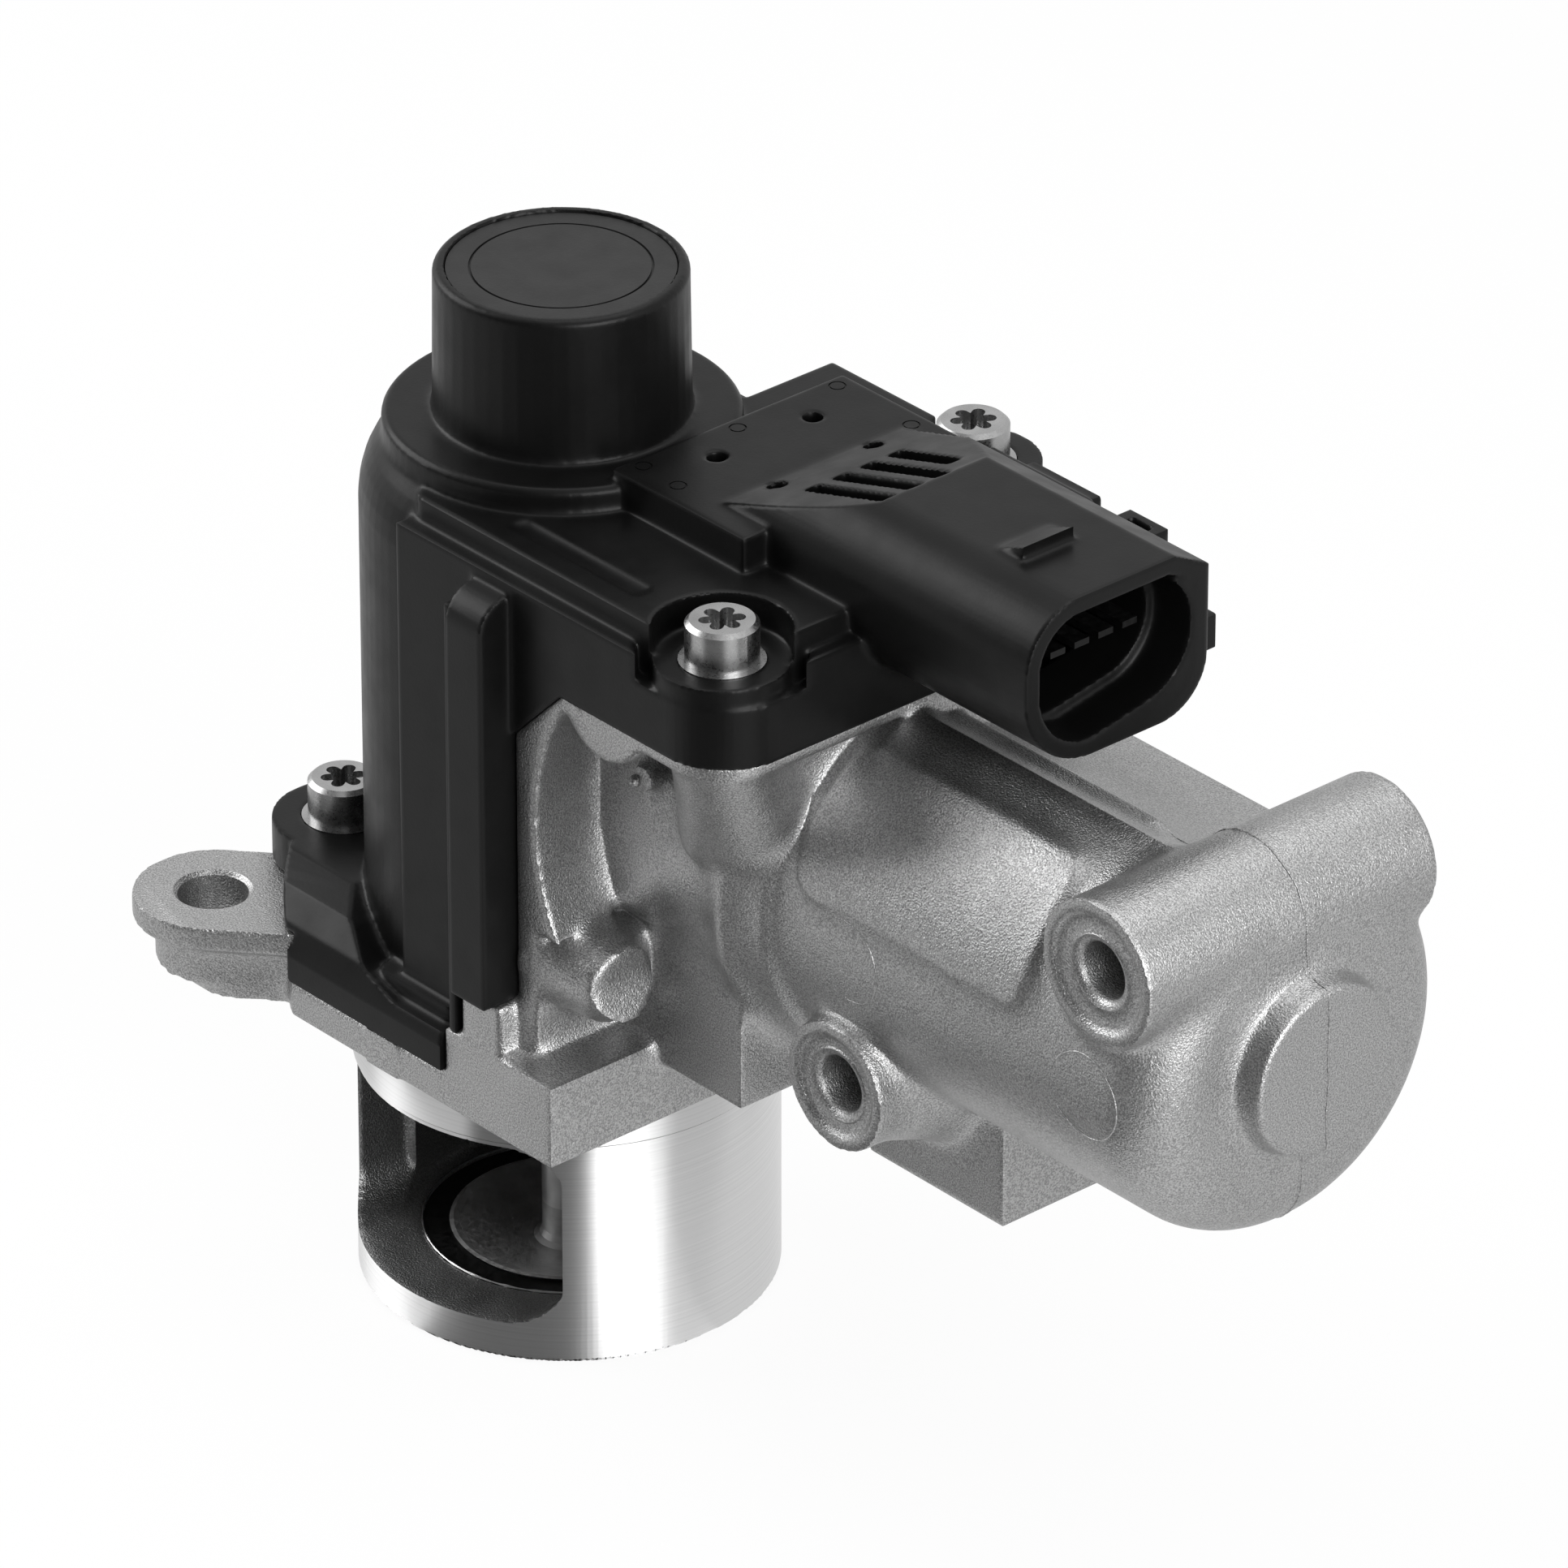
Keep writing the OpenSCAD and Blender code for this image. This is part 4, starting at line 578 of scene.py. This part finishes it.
HOLDER_GREY = moulded_plastic("holder_plastic", 0.06, 0.45)
CARBON = moulded_plastic("carbon", 0.02, 0.55, 0.3, 0.04)
BOARD = board_green()
CHIP = moulded_plastic("chip_resin", 0.01, 0.35)

NODE_FINISH = {
    "valve_housing": CAST, "seat_ring": DARK_STEEL, "valve_disc": VALVE_STEEL, "valve_stem": STEEL,
    "guide_bush": BRONZE, "stem_seal": RUBBER, "seal_retainer": STEEL, "lift_yoke": STEEL,
    "sensor_rod": STEEL, "magnet_holder": HOLDER_GREY, "sensor_magnet": FERRITE,
    "spring_retainer": CAN_STEEL, "return_spring": SPRING_STEEL,
    "gear_carrier": CAN_STEEL, "carrier_screws": ZINC, "crank_bush": BRONZE, "idler_bush": BRONZE,
    "crank_gear": IRON, "crank_shaft": STEEL, "crank_pin": STEEL, "crank_roller": STEEL,
    "crank_clip": SPRING_STEEL, "idler_gear": GEAR_WHITE, "idler_pinion": IRON, "idler_shaft": STEEL,
    "idler_clip": SPRING_STEEL, "motor_can": CAN_STEEL, "motor_magnets": FERRITE,
    "brush_holder": HOLDER_GREY, "carbon_brushes": CARBON, "motor_terminals": BRASS,
    "front_bearing": BRONZE, "rear_bearing": BRONZE, "motor_screws": ZINC,
    "motor_wave_washer": SPRING_STEEL, "rotor_shaft": STEEL, "armature_core": IRON,
    "armature_windings": WINDING, "commutator": COPPER, "motor_pinion": BRASS,
    "actuator_cover": BLACK, "cover_seal": RUBBER, "sensor_lid": LID_BLACK, "sensor_board": BOARD,
    "hall_sensor": CHIP, "connector_terminals": TIN_SHADED, "cover_screws": ZINC, "screw_bushings": ZINC,
}


def dress(thing, material):
    """Gives an object one material."""
    thing.data.materials.clear()
    thing.data.materials.append(material)


def carried_nodes():
    """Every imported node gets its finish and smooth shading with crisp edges."""
    for name, thing in NODES.items():
        dress(thing, NODE_FINISH[name])
        shade_smooth(thing)


# Body casting

def bore_fillers():
    """Plugs that close the machined holes before the casting is rounded."""
    filled = [rod((x, TUBE_FRONT, z), (x, REAR_FACE, z), r - SPOT_WALL) for x, z, r in BOLT_TUBES]
    for side in (-1, 1):
        y = side * BOLT_HALF_SPAN
        filled.append(rod((BOLT_X, y, 2), (BOLT_X, y, FLANGE_TOP), BOLT_HOLE_R + 1))
    return filled


def machining():
    """What the cutters take from the rounded casting: bores, spot faces and milled faces."""
    tools = []
    for x, z, r in BOLT_TUBES:
        profile = [
            (-PAST, r - SPOT_WALL), (0, r - SPOT_WALL), (0.2, r - 1.6), (0.5, r - 1.85),
            (SPOT_DEPTH, r - 2.3), (SPOT_DEPTH + 0.05, BORE_R + 1.3), (SPOT_DEPTH - 0.1, BORE_R + 1.1),
            (SPOT_DEPTH, BORE_R + 0.7), (SPOT_DEPTH + 0.4, BORE_R + 0.2), (SPOT_DEPTH + 1, BORE_R),
            (REAR_FACE - TUBE_FRONT + PAST, BORE_R)]
        tools.append(lathe(profile, (x, TUBE_FRONT, z), (0, 1, 0)))
    for side in (-1, 1):
        y = side * BOLT_HALF_SPAN
        tools.append(rod((BOLT_X, y, -PAST), (BOLT_X, y, FLANGE_TOP + PAST), BOLT_HOLE_R))
        tools.append(rod((BOLT_X, y, FLANGE_TOP - HOLE_CHAMFER), (BOLT_X, y, FLANGE_TOP + 0.1),
                         BOLT_HOLE_R, BOLT_HOLE_R + 0.7))
    tools += [slab(low, high) for low, high in EAR_FACES]
    return tools


def body_casting():
    """The housing above the spigot, rounded as a casting and then machined."""
    casting = node_copy("body_casting", "valve_housing")
    combine(casting, [slab(FAR_LOW, (*FAR_HIGH[:2], CASTING_LOW))], "DIFFERENCE")
    added = [rod(*LUG_SWELL), slab(*LUG_WEB), slab(*BAR_FOOT), rod(*NUB_SEAT)]
    combine(casting, bore_fillers() + added, "UNION")
    soften(casting, *CASTING_SKIN)
    combine(casting, [lathe(NUB_PROFILE, NUB_PLACE, (0, -1, 0), 24)], "UNION")
    combine(casting, machining(), "DIFFERENCE")
    thin_out(casting)
    keep_inside(casting, LINE_ROOM)
    shade_smooth(casting, 40)
    dress(casting, CAST)
    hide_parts("valve_housing")
    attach(casting, "housing")
    return casting


# Marks that the die leaves on the casting

def ring_on(tree, centre, radius, start, end):
    """Points of a circle thrown onto a surface along +Y."""
    points = []
    steps = max(8, int((end - start) / 6))
    for i in range(steps + 1):
        angle = math.radians(start + (end - start) * i / steps)
        x = centre[0] + radius * math.cos(angle)
        z = centre[1] + radius * math.sin(angle)
        hit = tree.ray_cast(Vector((x, -60, z)) * MM, Vector((0, 1, 0)))[0]
        if hit:
            points.append(hit)
    return points


def outline_on(tree, y, middle, start, end, step):
    """Points where the plane of this Y meets the outside of a surface, seen from a point within."""
    points = []
    angle = start
    while angle < end:
        way = Vector((math.cos(math.radians(angle)), 0, math.sin(math.radians(angle))))
        sway = 0.25 * noise.noise(Vector((angle * 0.15, 3, 0)))
        outside = Vector((middle[0], y + sway, middle[1])) * MM + way * 0.09
        hit = tree.ray_cast(outside, -way)[0]
        if hit:
            points.append(hit)
        angle += step
    return points


def die_marks(casting):
    """Ejector rings and the parting line, as thin raised beads sunk halfway into the casting."""
    tree = surface_of(casting)
    marks = [bead(name, ring_on(tree, centre, EJECTOR_R, start, end), EJECTOR_BEAD)
             for name, centre, start, end in EJECTOR_RINGS]
    outline = outline_on(tree, MOTOR_Y, PARTING_MIDDLE, PARTING_START, PARTING_END, PARTING_STEP)
    marks.append(bead("parting_line", outline, PARTING_BEAD))
    for mark in marks:
        shade_smooth(mark, 60)
        dress(mark, CAST)
        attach(mark, "housing")


# Spigot

def swell_spigot(spigot):
    """Moves the outside of the spigot outwards, so that the lathe cuts all of it."""
    for vertex in spigot.data.vertices:
        reach = math.hypot(vertex.co.x, vertex.co.y) / MM
        radius = SPIGOT_R if vertex.co.z > -LAND_LENGTH * MM else PLAIN_R
        if reach > radius - SPIGOT_SPARE:
            vertex.co.x *= (radius + SPIGOT_SPARE) / reach
            vertex.co.y *= (radius + SPIGOT_SPARE) / reach
        if vertex.co.z < (SPIGOT_END + SPIGOT_SPARE) * MM:
            vertex.co.z = (SPIGOT_END - SPIGOT_SPARE) * MM


def is_turned(mesh, face):
    """Whether a face lies on the turned outside of the spigot or on its end, and not on a cast wall."""
    reaches = [math.hypot(*mesh.vertices[i].co.xy) for i in face.vertices]
    outer = all(reach > (PLAIN_R - 0.55) * MM for reach in reaches)
    outward = face.normal.xy.dot(face.center.xy) > 0.9 * face.center.xy.length
    along = abs(face.normal.z) < 0.3 and outward
    return (outer and along) or face.center.z < (SPIGOT_END + 0.3) * MM


def turned_spigot():
    """The spigot: a true cylinder outside, with the cast window and chamber walls inside."""
    spigot = node_copy("turned_spigot", "valve_housing")
    combine(spigot, [slab((*FAR_LOW[:2], SPIGOT_HIGH), FAR_HIGH)], "DIFFERENCE")
    soften(spigot, *SPIGOT_SKIN)
    swell_spigot(spigot)
    profile = [
        (SPIGOT_END, PLAIN_R - 0.5), (SPIGOT_END + 0.4, PLAIN_R), (-LAND_LENGTH - 0.3, PLAIN_R),
        (-LAND_LENGTH, SPIGOT_R), (5, SPIGOT_R)]
    combine(spigot, [lathe(profile, (0, 0, 0), (0, 0, 1), 240)], "INTERSECT")
    dress(spigot, TURNED)
    # The walls inside take the darker copy of the cast finish, which is painted shade
    spigot.data.materials.append(CAST_SHADED_INSIDE)
    for face in spigot.data.polygons:
        face.material_index = 0 if is_turned(spigot.data, face) else 1
    thin_out(spigot)
    shade_smooth(spigot)
    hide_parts("valve_housing")
    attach(spigot, "housing")


def seat_edge():
    """The bright broken edge of the bore that holds the seat ring."""
    segments = 120
    turns = [math.tau * i / segments for i in range(segments)]
    circle = [(SEAT_R * math.cos(turn), SEAT_R * math.sin(turn), SEAT_FLOOR) for turn in turns]
    edge = bead("seat_bore_edge", [Vector(point) * MM for point in circle], SEAT_BEAD, closed=True)
    shade_smooth(edge, 60)
    dress(edge, TURNED)
    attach(edge, "housing")


# Cover

def cover_details():
    """Forms that the cover has beyond its solid: the corner by the front screw, mouth and rear edge."""
    added = []
    for low, high, room in SCREW_CORNERS:
        clearance = rod((SCREW_X, SCREW_Y, 60), (SCREW_X, SCREW_Y, 80), room)
        added.append(cut_from(slab(low, high), clearance))
    inner = [(y, z, r - MOUTH_LIP) for y, z, r in MOUTH]
    added.append(cut_from(
        prism(PLUG_SHELL, PLUG_BACK, PLUG_FRONT), prism(MOUTH, MOUTH_STEP, 90), prism(inner, 60, 80)))
    added += [slab(low, high) for low, high in REAR_BLOCKS]
    added.append(cut_from(slab(*REAR_LOOP), slab(*LOOP_HOLE)))
    return added


def cover_marks():
    """Ejector rings of the mould, sunk a little into the platform."""
    rings = []
    for x, y in RING_PLACES:
        disc = rod((x, y, PLATFORM_Z - RING_DEPTH), (x, y, PLATFORM_Z + 1), RING_OUTER, segments=32)
        core = rod((x, y, PLATFORM_Z - 2), (x, y, PLATFORM_Z + 2), RING_INNER, segments=32)
        rings.append(cut_from(disc, core))
    return rings


def moulded_cover():
    """The black cover with the small radii that its mould gives it."""
    cover = node_copy("moulded_cover", "actuator_cover")
    combine(cover, cover_details(), "UNION")
    combine(cover, [slab(*BAR_NOTCH)], "DIFFERENCE")
    soften(cover, *COVER_SKIN)
    combine(cover, cover_marks(), "DIFFERENCE")
    thin_out(cover)
    keep_inside(cover)
    shade_smooth(cover, 40)
    dress(cover, BLACK)
    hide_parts("actuator_cover")
    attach(cover, "housing")


# Spring

def closing_spring():
    """The return spring, as its own copy of the solid, carried with the housing."""
    spring = node_copy("closing_spring", "return_spring")
    shade_smooth(spring)
    dress(spring, SPRING_STEEL)
    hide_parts("return_spring")
    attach(spring, "housing")
    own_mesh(spring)


# Camera, lamps and floor

def camera():
    """A long lens at the photograph's angle."""
    azimuth, elevation = math.radians(CAMERA_AZIMUTH), math.radians(CAMERA_ELEVATION)
    right = Vector((math.cos(azimuth), math.sin(azimuth), 0))
    back = Vector((math.sin(azimuth) * math.cos(elevation), -math.cos(azimuth) * math.cos(elevation),
                   math.sin(elevation)))
    up = back.cross(right)
    eye = back * CAMERA_DISTANCE + right * AIM_RIGHT + up * AIM_UP
    data = bpy.data.cameras.new("photo_camera")
    data.sensor_width = SENSOR
    data.lens = LENS
    data.clip_start = 0.01
    thing = bpy.data.objects.new("photo_camera", data)
    rows = [(right[k], up[k], back[k], eye[k]) for k in range(3)]
    thing.matrix_world = Matrix((*rows, (0, 0, 0, 1)))
    bpy.context.scene.collection.objects.link(thing)
    bpy.context.scene.camera = thing


def direction(azimuth, elevation):
    """A unit vector from two angles in degrees."""
    turn, rise = math.radians(azimuth), math.radians(elevation)
    return Vector((math.cos(turn) * math.cos(rise), math.sin(turn) * math.cos(rise), math.sin(rise)))


def lamp(name, azimuth, elevation, size, power):
    """A soft square lamp that looks at the lit point."""
    centre = Vector(LIT_POINT)
    data = bpy.data.lights.new(name, "AREA")
    data.size = size
    data.energy = power
    thing = bpy.data.objects.new(name, data)
    thing.location = centre + direction(azimuth, elevation) * LAMP_DISTANCE
    thing.rotation_euler = (centre - thing.location).to_track_quat("-Z", "Y").to_euler()
    bpy.context.scene.collection.objects.link(thing)


def mapped(tree, value, low, high, start=0, end=1):
    """A smooth step between two levels, each a number or a socket."""
    step = tree.nodes.new("ShaderNodeMapRange")
    step.interpolation_type = "SMOOTHSTEP"
    step.inputs["From Min"].default_value = start
    step.inputs["From Max"].default_value = end
    for socket, level in (("To Min", low), ("To Max", high)):
        if isinstance(level, (int, float)):
            step.inputs[socket].default_value = level
        else:
            tree.links.new(level, step.inputs[socket])
    tree.links.new(value, step.inputs["Value"])
    return step.outputs["Result"]


def level_towards(tree, vector, way, outside, inside, outer, inner):
    """A level for vectors near a direction and another for the rest, with a soft edge between two angles."""
    dot = tree.nodes.new("ShaderNodeVectorMath")
    dot.operation = "DOT_PRODUCT"
    dot.inputs[1].default_value = way
    tree.links.new(vector, dot.inputs[0])
    return mapped(tree, dot.outputs["Value"], outside, inside,
                  math.cos(math.radians(outer)), math.cos(math.radians(inner)))


def floor_level(tree):
    """Level of the floor's glow in reflections, a painted reflection that changes with the azimuth round the
    stem axis.
    """
    away = tree.nodes.new("ShaderNodeVectorMath")
    away.operation = "NORMALIZE"
    tree.links.new(tree.nodes.new("ShaderNodeTexCoord").outputs["Object"], away.inputs[0])
    level = FLOOR_LEVEL
    for middle, half, edge, inside in PAINTED_GLOSS_SECTORS:
        level = level_towards(
            tree, away.outputs["Vector"], direction(middle, 0), level, inside, half + edge, half - edge)
    return level


def floor_share(tree, path):
    """How much of the floor's look is its own glow, for camera rays and for glossy rays."""
    seen = tree.nodes.new("ShaderNodeMath")
    seen.operation = "MULTIPLY"
    seen.inputs[1].default_value = FLOOR_SEEN
    tree.links.new(path.outputs["Is Camera Ray"], seen.inputs[0])
    share = tree.nodes.new("ShaderNodeMath")
    share.operation = "MULTIPLY_ADD"
    share.inputs[1].default_value = FLOOR_MIRRORED
    tree.links.new(path.outputs["Is Glossy Ray"], share.inputs[0])
    tree.links.new(seen.outputs[0], share.inputs[2])
    return share.outputs[0]


def pale_floor():
    """A pale floor that keeps the object's shadow and shows near white to the camera."""
    bm = bmesh.new()
    bmesh.ops.create_grid(bm, x_segments=1, y_segments=1, size=FLOOR_SIZE)
    floor = from_bmesh("floor", bm)
    floor.location.z = START_BOX[0][2]
    material = bpy.data.materials.new("floor_white")
    material.use_nodes = True
    tree = material.node_tree
    tree.nodes.clear()
    path = tree.nodes.new("ShaderNodeLightPath")
    plain = tree.nodes.new("ShaderNodeBsdfDiffuse")
    plain.inputs["Color"].default_value = (*grey(FLOOR_GREY), 1)
    glow = tree.nodes.new("ShaderNodeEmission")
    strength = mapped(tree, path.outputs["Is Camera Ray"], floor_level(tree), 1.0)
    tree.links.new(strength, glow.inputs["Strength"])
    mix = tree.nodes.new("ShaderNodeMixShader")
    tree.links.new(floor_share(tree, path), mix.inputs["Fac"])
    tree.links.new(plain.outputs[0], mix.inputs[1])
    tree.links.new(glow.outputs[0], mix.inputs[2])
    out = tree.nodes.new("ShaderNodeOutputMaterial")
    tree.links.new(mix.outputs[0], out.inputs["Surface"])
    floor.data.materials.append(material)


def studio():
    """A plain world: white to the camera, even light on surfaces, and in gloss a room with a dark side."""
    world = bpy.data.worlds.new("studio")
    bpy.context.scene.world = world
    world.use_nodes = True
    tree = world.node_tree
    shade = tree.nodes["Background"]
    shade.inputs["Color"].default_value = (1, 1, 1, 1)
    path = tree.nodes.new("ShaderNodeLightPath")
    place = tree.nodes.new("ShaderNodeTexCoord").outputs["Generated"]
    dark_side = direction(DARK_AZIMUTH, DARK_ELEVATION)
    room = level_towards(tree, place, dark_side, ROOM_LEVEL, ROOM_DARK, DARK_OUTER, DARK_INNER)
    glossy = mapped(tree, path.outputs["Is Glossy Ray"], ROOM_DIFFUSE, room)
    strength = mapped(tree, path.outputs["Is Camera Ray"], glossy, 1.0)
    tree.links.new(strength, shade.inputs["Strength"])


carried_nodes()
die_marks(body_casting())
turned_spigot()
seat_edge()
moulded_cover()
closing_spring()
pale_floor()
studio()
for settings in LAMPS:
    lamp(*settings)
camera()

bpy.context.scene.view_settings.view_transform = "Standard"
